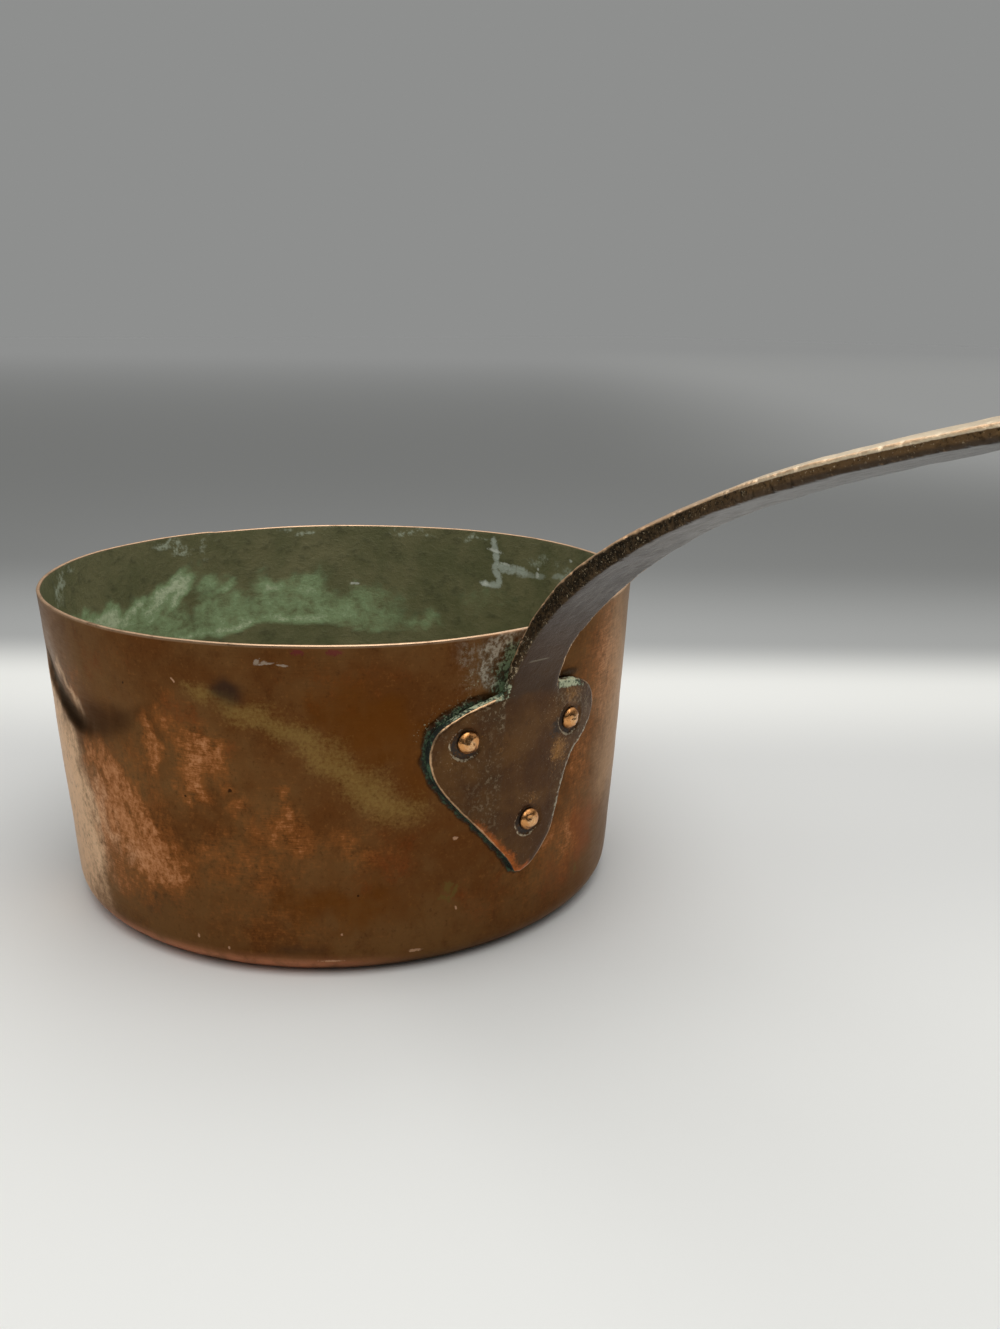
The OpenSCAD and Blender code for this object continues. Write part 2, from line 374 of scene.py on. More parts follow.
# %% Join the rows into a closed pan
rows = len(profile)
faces = []
for i in range(rows - 1):
    start, above_row = i * count, (i + 1) * count
    for j in range(count):
        k = (j + 1) % count
        faces.append((start + j, start + k, above_row + k, above_row + j))
base_middle, inside_middle = rows * count, rows * count + 1
last = (rows - 1) * count
for j in range(count):
    k = (j + 1) % count
    faces.append((base_middle, k, j))
    faces.append((inside_middle, last + j, last + k))
middles = [(0, 0, 0), (0, 0, WALL_T)]
pan = new_piece("pan", np.vstack([pan_points, middles]), faces)
face_side = np.array([side[f[-1]] if max(f) < rows * count else side[f[1]] for f in faces])
print("pan faces", len(faces))

# %% [markdown]
# ## Where the pan is worn, stained and crusted
# Each mark has its place on the wall: an angle round the pan and a height. The masks are
# worked out once for each point of the mesh. The material later frays their edges with noise.

# %% Ways to lay a mark on the pan
ragged_az = np.degrees((2.4 * swell(round_wall, 15, 31) + 1.1 * swell(round_wall, 5, 32)) / WALL_MEAN)
ragged_z = 2.6 * swell(round_wall, 14, 33) + 1.2 * swell(round_wall, 5, 34)


def around(az, ragged=1.0):
    """Way round the wall from an angle, in millimetres, a little ragged."""
    return np.radians((azimuth + ragged * ragged_az - az + 180) % 360 - 180) * WALL_MEAN


def patch(az, z, wide, high, tilt=0.0, ragged=1.0):
    """A soft oval mark on the wall, its half sizes in millimetres, tilted in degrees."""
    du, dv = around(az, ragged), height + ragged * ragged_z - z
    c, k = math.cos(math.radians(tilt)), math.sin(math.radians(tilt))
    return peak(du * c + dv * k, 0, wide) * peak(dv * c - du * k, 0, high)


def stroke(places, start_wide, end_wide=None, ragged=1.0):
    """A soft line on the wall through places of angle and height."""
    middle = places[0][0]
    turn_mm = math.radians(1) * WALL_MEAN
    line = [(((a - middle + 180) % 360 - 180) * turn_mm, z) for a, z in places]
    d, share = line_distance(around(middle, ragged), height + ragged * ragged_z, line)
    wide = start_wide + ((end_wide or start_wide) - start_wide) * share
    return peak(d, 0, wide)


def most(*masks):
    """The strongest of several marks at each point."""
    return np.max(masks, axis=0)


# %% Where the copper is rubbed
worn = most(
    0.4 * patch(-73, 52, 30, 34), 0.28 * patch(-46, 20, 30, 12), 0.3 * patch(8, 30, 30, 30),
    0.8 * stroke([(-81, 69), (-76, 62), (-72, 54), (-69, 45), (-66, 34)], 7, 10),
    0.95 * patch(-70, 35, 17, 15), 0.95 * patch(-82, 46, 11, 26), 0.85 * patch(-76, 46, 15, 28, 12),
    0.66 * patch(-78, 22, 12, 9), 0.66 * stroke([(-67, 84), (-65.3, 77), (-66, 71)], 4),
    0.62 * stroke([(-62, 88), (-60, 80)], 5, 4), 0.7 * patch(-58, 74, 9, 14),
    0.78 * stroke([(-57.5, 82), (-58, 72), (-57, 63)], 4.5, 4), 0.66 * patch(-53, 76, 6, 10),
    0.62 * patch(-42, 53, 14, 8, -8), 0.6 * stroke([(-43.4, 67), (-42, 58)], 2.8),
    0.5 * patch(-51, 60, 6, 5), 0.46 * patch(-30, 46, 12, 8), 0.45 * patch(-88, 91, 9, 8),
    0.66 * patch(25, 92, 20, 28), 0.5 * stroke([(22.7, 111), (23.4, 84)], 2.6, 2.0),
    0.55 * patch(18, 60, 9, 22), 0.66 * patch(15, 33, 12, 16), 0.45 * patch(-52, 40, 30, 12),
    0.6 * patch(8, 36, 6, 10),
) * (1 - 0.5 * patch(-62.3, 60, 3.6, 13)) * (1 - 0.5 * patch(-61.5, 73, 2.4, 5))
slant = most(smooth(-68, -80, azimuth + 0.35 * (50 - height)), patch(-70, 38, 16, 18))
print("rubbed points", int((worn > 0.5).sum()))

# %% Where the left and the right of the wall get a painted reflection of the pale floor
# The pale left of the wall is a painted reflection of the pale floor.
pale_edge = np.interp(height, [4, 12, 20, 30, 50, 70, 80], [-91, -88, -85.5, -83.5, -84.5, -88.5, -95])
pale = smooth(11, -11, azimuth + 1.7 * ragged_az - pale_edge) * smooth(-1, 5, height)
pale = pale * smooth(3.5, -1, over_lip) * smooth(-134, -103, azimuth + 2 * ragged_az)
pale = pale * (1 - smooth(-104, -122, azimuth) * smooth(30, 84, height + 3 * ragged_z))
# The stroke by the dent is a painted highlight above its fold.
pale = most(
    pale, 0.5 * patch(-80.5, 45, 6, 18, 8), 0.4 * patch(-74, 34, 9, 8),
    0.7 * stroke([(-95, 94), (-90, 89.4), (-87, 85.4), (-85.6, 82)], 4.2, 2.8, ragged=0.8),
)
behind_left = smooth(-98, -124, azimuth + ragged_az)
# The tan right of the wall is a painted reflection of the floor as well.
tan_reflection = smooth(13, 36, azimuth + ragged_az) * smooth(78, 38, azimuth + 2 * ragged_az)
tan_reflection = tan_reflection * smooth(12, 56, height + ragged_z)
# A rosy line round the foot's rounded corner is a painted reflection of the floor close by.
rosy_reflection = smooth(8.5, 3, height) * smooth(0.1, 1.0, height)
rosy_reflection = rosy_reflection * smooth(-112, -98, azimuth) * smooth(-15, -45, azimuth)
print("pale points", int((pale > 0.5).sum()))

# %% Where painted shade lies in the dent, and where the heat and knocks left their colours
CREASE = [(-110, 97), (-100, 87), (-94.5, 83), (-90, 79), (-86, 76.6), (-80, 77.5)]
# Painted shade along the dent's fold, and in the hollow below it.
crease_shade = 0.9 * stroke(CREASE, 0.6, 5.0, ragged=0.3) * smooth(-78, -90, azimuth)
hollow = most(
    1.1 * patch(-81, 81, 12, 6.4, 8, ragged=0.15), 0.9 * patch(-74, 83, 10, 5, 18, ragged=0.3),
    0.5 * patch(-69, 86, 7, 4, 24, ragged=0.6),
)
OLIVE = [(-59.5, 99.5), (-55, 97.3), (-50.5, 95), (-46.5, 92.4), (-42.5, 88), (-38.6, 83.5),
         (-34.6, 78), (-28, 67), (-22, 54)]
olive = stroke(OLIVE, 2.8, 9.5, ragged=0.5) * smooth(-62, -55, azimuth) * smooth(46, 62, height)
red = most(
    1.1 * patch(22, 33, 11, 16), 0.75 * patch(13, 21, 15, 9), 0.5 * patch(-26, 42, 16, 10, 25),
    0.5 * patch(-8, 22, 14, 8), 0.7 * patch(-50, 79, 3, 6), 0.4 * patch(-30, 104, 26, 9),
    0.5 * patch(-60, 91, 10, 6), 0.4 * patch(-72, 106, 10, 8), 0.4 * patch(-80, 100, 9, 9),
    0.5 * patch(-84, 84, 6, 5),
)
umber = most(
    1.0 * patch(-27, 88, 24, 14, -35), 0.8 * patch(-33, 26, 30, 9), 0.7 * patch(-20, 72, 8, 18),
)
bruise = most(
    1.1 * patch(-50.6, 98.8, 5.6, 4.8, ragged=0.3), 0.5 * patch(-41, 8, 13, 5),
    0.5 * patch(-70, 20, 13, 6), 0.45 * patch(-61.5, 73, 2.5, 4),
)
print("olive points", int((olive > 0.5).sum()))

# %% Where lime, verdigris and dust lie by the plate
lime = most(
    0.95 * stroke([(-7.0, 98), (-7.6, 103.5), (-5.6, 109), (-1.0, 114)], 2.8, 5.4, ragged=0.6),
    0.35 * patch(-9.5, 105, 7, 9),
)
verdigris = most(
    stroke([(-5.2, 95), (-4.0, 100), (-2.4, 106)], 3.0, 3.4),
    0.5 * stroke([(-2.4, 106), (0, 114)], 3.4, 4.6),
)
dust = most(
    peak(gap, 0, 6.5) * left_only * smooth(72, 88, height) * near,
    0.9 * patch(-10.5, 104, 7, 11), 0.5 * patch(13, 99, 7, 5),
)
print("lime points", int((lime > 0.5).sum()))

# %% Marks inside the pan
far_turn = azimuth % 360
low_line = 67 + 1.6 * swell(round_wall, 34, 41) + 0.8 * swell(round_wall, 12, 42)
low_line += 2.2 * peak(far_turn, 171, 9) - 2.5 * smooth(150, 130, far_turn)
belt = smooth(low_line - 1.5, low_line + 0.8, height) * smooth(94, 78, height + ragged_z)
belt = belt * smooth(118, 150, far_turn) * smooth(262, 205, far_turn)
low_glow = peak(height - low_line, 2.6, 2.8) * smooth(140, 156, far_turn) * smooth(222, 190, far_turn)
cloud = most(
    0.6 * belt, 1.0 * low_glow,
    1.05 * stroke([(-134, 86), (-146, 84), (-156, 84), (-165, 89), (-172, 94)], 6, 4.5),
    0.7 * patch(-150, 76, 22, 9), 0.85 * patch(-176, 92, 8, 6), 1.0 * patch(179, 88.5, 4.5, 3.4),
    0.95 * patch(167, 86, 9, 6), 1.05 * patch(157, 86, 9, 7), 0.7 * patch(150, 78, 12, 7),
    0.5 * stroke([(148, 76), (137, 71), (126, 70)], 7, 5), 0.4 * patch(-122, 92, 14, 12),
    0.3 * patch(112, 82, 22, 6),
) * (1 - 0.75 * stroke([(-173, 93), (-172.3, 84), (-172, 76)], 1.7, ragged=0.3))
frost = most(
    0.95 * patch(-168, 110.5, 9, 3.5, 12), 0.9 * patch(-177.7, 107, 3.5, 6),
    0.8 * patch(-172, 106, 6, 3, 40), 0.85 * patch(158, 113, 14, 1.8),
    0.8 * patch(131, 111, 13, 2.6), 0.8 * patch(115, 110.4, 10, 2, 8), 0.6 * patch(-133, 113, 9, 2.4),
    0.75 * patch(-128, 106, 9, 8), 0.5 * patch(95, 104, 14, 7), 0.55 * patch(86, 100, 8, 8),
    0.4 * patch(180, 113, 16, 1.6),
)
print("cloudy points", int((cloud > 0.5).sum()))

# %% Keep the marks, and give each side of the sheet its skin
masks = {
    "worn": worn, "slant": slant, "pale": pale, "behind_left": behind_left, "tan_reflection": tan_reflection,
    "rosy_reflection": rosy_reflection, "crease_shade": crease_shade, "hollow": hollow, "olive": olive, "red": red, "umber": umber,
    "bruise": bruise, "lime": lime, "verdigris": verdigris, "dust": dust, "crust": crust,
    # rim: where a painted highlight runs along the rim's top
    "cloud": cloud, "frost": frost, "rim": smooth(PAN_H - 0.6, PAN_H - 0.2, height),
}
store(pan.data, **{name: np.append(mask, (0, 0)) for name, mask in masks.items()})
copper_skin = bpy.data.materials.new("pan_copper_worn")
green_skin = bpy.data.materials.new("pan_inside_green")
pan.data.materials.append(copper_skin)
pan.data.materials.append(green_skin)
pan.data.polygons.foreach_set("material_index", face_side.astype(np.int32))
print("marks:", ", ".join(masks))

# %% [markdown]
# ## The rivets' places
# Each rivet stands square to the leaning wall. A frame for each one gives its middle on the
# wall and its axis. The holes in the pan and the handle, the round marks of the hammer and
# the rivets themselves all use these frames.

# %% Work out the rivets' frames
SHANK_D, HEAD_D, HEAD_H, SEAT_D, SEAT_DEPTH = 5, 7.8, 2.7, 11, 0.5
INNER_HEAD_D, INNER_HEAD_H = 10, 1.6
RIVETS = {"rivet_left": (-21.5, 81), "rivet_right": (19.5, 81), "rivet_bottom": (3, 49)}


def on_wall_frame(y, z):
    """A frame on the wall: its own Z points out along the rivet."""
    r = wall_r(z)
    return (
        Matrix.Rotation(math.asin(y / r), 4, "Z")
        @ Matrix.Translation((r, 0, z))
        @ Matrix.Rotation(math.pi / 2 + LEAN, 4, "Y")
    )


rivet_frames = {name: on_wall_frame(*at) for name, at in RIVETS.items()}


def turned(name, rows, around, frame=None):
    """A closed solid turned on a lathe: rows give radius and height, from below upwards."""
    a = np.linspace(0, 2 * math.pi, around, endpoint=False)
    ring = np.column_stack([np.cos(a), np.sin(a)])
    points = [(*(xy * r), h) for r, h in rows for xy in ring]
    points += [(0, 0, rows[0][1]), (0, 0, rows[-1][1])]
    top = (len(rows) - 1) * around
    skin = [
        (i * around + j, i * around + (j + 1) % around,
         (i + 1) * around + (j + 1) % around, (i + 1) * around + j)
        for i in range(len(rows) - 1) for j in range(around)
    ]
    low, high = len(points) - 2, len(points) - 1
    skin += [(low, (j + 1) % around, j) for j in range(around)]
    skin += [(high, top + j, top + (j + 1) % around) for j in range(around)]
    points = np.array(points)
    if frame:
        points = points @ np.array(frame.to_3x3()).T + np.array(frame.translation)
    return new_piece(name, points, skin)


def cut(piece, cutters, solver="EXACT"):
    """Takes the cutters out of a piece, and removes them."""
    for cutter in cutters:
        tool = piece.modifiers.new("cut", "BOOLEAN")
        tool.operation, tool.solver, tool.object = "DIFFERENCE", solver, cutter
    settled(piece)
    for cutter in cutters:
        bpy.data.objects.remove(cutter)


def shank_cutters():
    """Cutters for the three rivet holes, a little wider than the shanks."""
    r = SHANK_D / 2 + FIT_GAP
    return [turned("shank cutter", [(r, -9), (r, 9)], 32, f) for f in rivet_frames.values()]


cut(pan, shank_cutters())
print("pan with its holes:", len(pan.data.polygons), "faces")

# %% [markdown]
# ## The handle
# The handle is one casting: a plate that follows the wall, and a bar that leaves it in a
# tight curve and levels out towards the hand. Both are made as closed shells of their own.
# A voxel remesh then melts them into one skin of small even faces, which is how a casting
# looks: no seam, and a small fillet where the two meet. The skin is then pitted and worn.
# A few sizes of the bar differ a little from the CAD's, as the renders beside the photograph
# asked: sharper edges, a thicker bend, a broader middle and a slightly steeper end.

# %% The bar's path and section
BAR_L, ROOT_DROP, ROOT_L, NECK_SLOPE, END_SLOPE, LEVEL_L = 232, 11.5, 11, 72, 11, 66
ROOT_W, ROOT_RIGHT, NECK_W, GRIP_W, EDGE_R, HOLE_D = 23, 1, 20, 34, 0.6, 12
BEND_T, GRIP_T, CROWN_H = 5.6, 4, 2
HAND_WIDE, HAND_WIDE_AT, HAND_WIDE_OVER = 2.2, 62, 24
NECK_AT, CROWN_AT, BEND_AT, GRIP_AT, WIDEN_FROM, WIDEN_TO = 36, 45, 62, 115, 98, 165
END_R = GRIP_W / 2
HOLE_AT = BAR_L - END_R
ROOT_INSET = 0.35
ROOT_Z = PLATE_TOP - ROOT_DROP
root_back, root_half = plate_back(ROOT_Z), ROOT_W / 2 + ROOT_RIGHT
ROOT_T = PLATE_T - 2 * ROOT_INSET - (root_back - math.sqrt(root_back**2 - root_half**2))


def ease(a):
    """An even rise from 0 to 1 that starts and ends gently."""
    return (1 - np.cos(math.pi * np.clip(a, 0, 1))) / 2


def blend(a, b, k):
    """A share k of the way from a to b."""
    return a + (b - a) * k


def slope(s):
    """Slope of the bar in degrees, s millimetres along it."""
    root = blend(90 - lean_deg, NECK_SLOPE, s / ROOT_L)
    level = END_SLOPE + (NECK_SLOPE - END_SLOPE) * np.exp((ROOT_L - s) / LEVEL_L)
    return np.where(s < ROOT_L, root, level)


def bar_t(s):
    """The bar's thickness at s."""
    bend = blend(ROOT_T, BEND_T, ease(s / BEND_AT))
    return np.where(s < BEND_AT, bend,
                    blend(BEND_T, GRIP_T, ease((s - BEND_AT) / (GRIP_AT - BEND_AT))))


def bar_w(s):
    """The bar's width at s, narrow at the neck and round at the end."""
    neck = blend(ROOT_W, NECK_W, ease(s / NECK_AT))
    grip = blend(NECK_W, GRIP_W, ease((s - WIDEN_FROM) / (WIDEN_TO - WIDEN_FROM)))
    hand_made = HAND_WIDE * peak(s, HAND_WIDE_AT, HAND_WIDE_OVER)
    end = 2 * np.sqrt(np.maximum(0, END_R**2 - np.maximum(s - HOLE_AT, 0) ** 2))
    return hand_made + np.where(s < NECK_AT, neck, np.where(s < HOLE_AT, grip, end))


def bar_crown(s):
    """How far the bar's rounded top rises above its edges at s."""
    return CROWN_H * ease(s / CROWN_AT) * np.minimum(1, bar_w(s) / NECK_W)


s_steps = np.arange(0, BAR_L + 2.0)
half_slopes = np.radians(slope(s_steps[:-1] + 0.5))
path = np.zeros((len(s_steps), 2))
path[0] = root_back + ROOT_INSET + ROOT_T / 2, ROOT_Z
path[1:] = path[0] + np.cumsum(
    np.column_stack([np.cos(half_slopes), np.sin(half_slopes)]), axis=0
)


def bar_ring(s):
    """The bar's section at s, as points in space."""
    w, t, crown, a = bar_w(s) / 2, bar_t(s) / 2, bar_crown(s), math.radians(slope(s))
    e = min(EDGE_R, 0.8 * min(w, t))
    left = [(e - w + e * math.cos(k), e - t + e * math.sin(k))
            for k in np.radians(np.linspace(180, 270, 7))]
    right = [(w - e + e * math.cos(k), e - t + e * math.sin(k))
             for k in np.radians(np.linspace(270, 360, 7))]
    top = [(u * w, t + crown * (1 - u * u)) for u in np.linspace(1, -1, 17)]
    cx, cz = (np.interp(s, s_steps, path[:, k]) for k in (0, 1))
    shift = ROOT_RIGHT * (1 - ease(s / NECK_AT))
    return [(cx - h * math.sin(a), u + shift, cz + h * math.cos(a))
            for u, h in left + right + top]


# %% Loft the bar
stations = [*np.arange(0, HOLE_AT), *(HOLE_AT + END_R * np.sin(np.radians(np.arange(0, 89, 4))))]
bar_points = [p for s in stations for p in bar_ring(s)]
ring = len(bar_points) // len(stations)
bar_faces = [
    (i * ring + j, (i + 1) * ring + j, (i + 1) * ring + (j + 1) % ring, i * ring + (j + 1) % ring)
    for i in range(len(stations) - 1) for j in range(ring)
]
bar_faces += [tuple(range(ring)), tuple(reversed(range((len(stations) - 1) * ring, len(bar_points))))]
print("bar", len(bar_faces), "faces")

# %% Lay the plate on the wall
GRID = 2.5
gy, gz = np.meshgrid(np.arange(-LOBE_LEFT, LOBE_RIGHT, GRID),
                     np.arange(PLATE_TIP, PLATE_TOP, GRID))
grid = np.column_stack([gy.ravel(), gz.ravel()])
grid = grid[outline_depth(grid[:, 0], grid[:, 1]) > GRID / 2]
flat = [Vector(p) for p in np.vstack([outline, grid])]
flat, _, triangles, *_ = delaunay_2d_cdt(flat, [], [list(range(len(outline)))], 1, 1e-5)
flat = np.array([tuple(p) for p in flat])


def bent(distance):
    """The flat plate bent round the wall, at a distance from its back."""
    r = plate_back(flat[:, 1]) + distance / math.cos(LEAN)
    return np.column_stack([np.sqrt(r**2 - flat[:, 0] ** 2), flat])


size = len(flat)
plate_points = np.vstack([bent(0), bent(PLATE_T)])
used = dict.fromkeys((a, b) for tri in triangles for a, b in zip(tri, tri[1:] + tri[:1]))
border = [(a, b) for a, b in used if (b, a) not in used]
plate_faces = [tuple(i + size for i in tri) for tri in triangles]
plate_faces += [tuple(reversed(tri)) for tri in triangles]
plate_faces += [(a, b, b + size, a + size) for a, b in border]

# %% Melt the two into one casting
VOXEL = 0.52
offset = len(plate_points)
handle = new_piece(
    "handle_cast",
    np.vstack([plate_points, bar_points]),
    plate_faces + [tuple(i + offset for i in f) for f in bar_faces],
)
body = bmesh.new()
body.from_mesh(handle.data)
bmesh.ops.recalc_face_normals(body, faces=body.faces)
body.to_mesh(handle.data)
body.free()
melt = handle.modifiers.new("melt", "REMESH")
melt.mode, melt.voxel_size, melt.use_smooth_shade = "VOXEL", VOXEL * MM, True
settled(handle)
print("cast skin:", len(handle.data.polygons), "faces")


# %% Where each point of the casting lies
def relaxed(mesh, points, weight, rounds):
    """Points drawn towards their neighbours' middle, which rounds off edges and steps."""
    pairs = np.empty(2 * len(mesh.edges), np.int32)
    mesh.edges.foreach_get("vertices", pairs)
    a, b = pairs.reshape(-1, 2).T
    n = len(points)
    links = np.bincount(a, minlength=n) + np.bincount(b, minlength=n)
    for _ in range(rounds):
        total = np.column_stack([
            np.bincount(a, points[b, k], n) + np.bincount(b, points[a, k], n) for k in range(3)
        ])
        points = points + weight[:, None] * (total / links[:, None] - points)
    return points


def on_bar(points):
    """How far along the bar each point lies, across it, and above its middle line."""
    _, share = line_distance(points[:, 0], points[:, 2], path)
    s = share * s_steps[-1]
    a = np.radians(slope(s))
    dx = points[:, 0] - np.interp(s, s_steps, path[:, 0])
    dz = points[:, 2] - np.interp(s, s_steps, path[:, 1])
    shift = ROOT_RIGHT * (1 - ease(s / NECK_AT))
    return s, points[:, 1] - shift, dz * np.cos(a) - dx * np.sin(a)


def proud_of_wall(points):
    """Height above the plate's back, square to the wall."""
    r = np.hypot(points[:, 0], points[:, 1])
    return (r - plate_back(points[:, 2])) * math.cos(LEAN)


def from_rivet(points, frame, right=0.0, up=0.0):
    """Distance of each point from a rivet's axis, moved sideways and up if wanted."""
    axis = np.array(frame.to_3x3() @ Vector((0, 0, 1)))
    away = points - np.array(frame.translation) - (0, right, up)
    along = away @ axis
    return np.linalg.norm(away - along[:, None] * axis, axis=1)


# %% Round the casting's edges
DRAW, SKIN_ROUNDS, JOINT_ROUNDS = 0.5, 5, 30
cast = points_of(handle.data)
cast = relaxed(handle.data, cast, np.full(len(cast), DRAW), SKIN_ROUNDS)
s, across, rise = on_bar(cast)
proud = proud_of_wall(cast)
joint = smooth(2.5, 3.6, proud) * smooth(22, 8, s) * smooth(14.5, 10.5, np.abs(across))
cast = relaxed(handle.data, cast, DRAW * joint, JOINT_ROUNDS)
place_points(handle.data, cast)
print("rounded", int((joint > 0.5).sum()), "points at the joint")

# %% [markdown]
# The sand of the mould left pits in the bar's sides, and the hammer that closed the rivets
# left a shallow round mark in the plate under each head.

# %% Pit and mark the casting's skin
normals = np.empty(3 * len(cast), np.float32)
handle.data.vertices.foreach_get("normal", normals)
normals = normals.reshape(-1, 3)
half_w, half_t = bar_w(s) / 2, bar_t(s) / 2
is_bar = smooth(3.3, 4.4, proud)
flank = is_bar * smooth(half_w - 1.3, half_w - 0.4, np.abs(across))
upper = is_bar * smooth(half_t - 1.1, half_t - 0.2, rise)
at_bore = smooth(7.5, 9.5, np.hypot(s - HOLE_AT, across))
wobble = 0.13 * swell(cast, 24, 11) + 0.05 * swell(cast, 8, 12)
pits = smooth(0.55, 1.6, swell(cast, 3.4, 13)) + 0.8 * smooth(0.7, 1.7, swell(cast, 1.9, 14))
pitted = 0.05 + (0.3 + 0.16 * smooth(120, 90, s)) * np.maximum(flank, 0.22 * upper)
SEAT_SHIFTS = {"rivet_left": (-0.9, -0.5), "rivet_right": (-0.4, 0.2), "rivet_bottom": (-0.3, -0.2)}
seat = np.zeros(len(cast))
front = smooth(2.6, 3.2, proud) * (1 - is_bar)
for name, rivet_frame in rivet_frames.items():
    d = from_rivet(cast, rivet_frame, *SEAT_SHIFTS[name]) + 0.25 * swell(cast, 6, 21)
    seat = np.maximum(seat, 1 - smooth(SEAT_D / 2 - 0.9, SEAT_D / 2 + 0.5, d))
lift = at_bore * (wobble - pitted * pits) - SEAT_DEPTH * seat * front
cast = cast + normals * lift[:, None]
place_points(handle.data, cast)
print("pits up to", round(float((pitted * pits).max()), 2), "mm deep")

# %% Bore the handle's holes
BORE_PAST = 6
bore_r, bore_lip = HOLE_D / 2, 0.7
low_face, high_face = -GRIP_T / 2, GRIP_T / 2 + CROWN_H
lip_turns = np.radians(np.linspace(0, 90, 6))
bore_rows = [(bore_r + bore_lip, low_face - BORE_PAST)]
for face, up, angles in ((low_face, 1, lip_turns), (high_face, -1, lip_turns[::-1])):
    bore_rows += [(bore_r + bore_lip * (1 - math.sin(t)), face + up * bore_lip * (1 - math.cos(t)))
                  for t in angles]
bore_rows += [(bore_r + bore_lip, high_face + BORE_PAST)]
hole_slope = math.radians(slope(HOLE_AT))
hole_x, hole_z = (np.interp(HOLE_AT, s_steps, path[:, k]) for k in (0, 1))
bore_frame = Matrix.Translation((hole_x, 0, hole_z)) @ Matrix.Rotation(-hole_slope, 4, "Y")
cut(handle, [*shank_cutters(), turned("bore cutter", bore_rows, 64, bore_frame)])
print("handle:", len(handle.data.polygons), "faces")

# %% [markdown]
# ## A way to write shader maths
# A material is easier to read as formulas than as boxes and wires. `Value` wraps one socket,
# and each sign in a formula adds one Math node. `Paint` adds every other node through one
# method, which takes the node's type, its settings and what goes into its sockets.

# %% Colours, values and nodes
def srgb(code):
    """A colour as the eye names it, turned into the light that it stands for."""
    parts = [int(code[i:i + 2], 16) / 255 for i in (0, 2, 4)]
    return (*[c / 12.92 if c < 0.04045 else ((c + 0.055) / 1.055) ** 2.4 for c in parts], 1)


class Value:
    """A socket that can take part in a formula."""

    def __init__(self, paint, socket):
        self.paint, self.socket = paint, socket

    def math(self, operation, *others):
        """One Math node that starts from this value."""
        inputs = dict(enumerate((self, *others)))
        return self.paint.node("ShaderNodeMath", {"operation": operation}, inputs)

    def __add__(self, other):
        return self.math("ADD", other)

    def __sub__(self, other):
        return self.math("SUBTRACT", other)

    def __rsub__(self, other):
        return self.paint.node("ShaderNodeMath", {"operation": "SUBTRACT"}, {0: other, 1: self})

    def __mul__(self, other):
        return self.math("MULTIPLY", other)

    def __or__(self, other):
        return self.math("MAXIMUM", other)

    __radd__, __rmul__ = __add__, __mul__


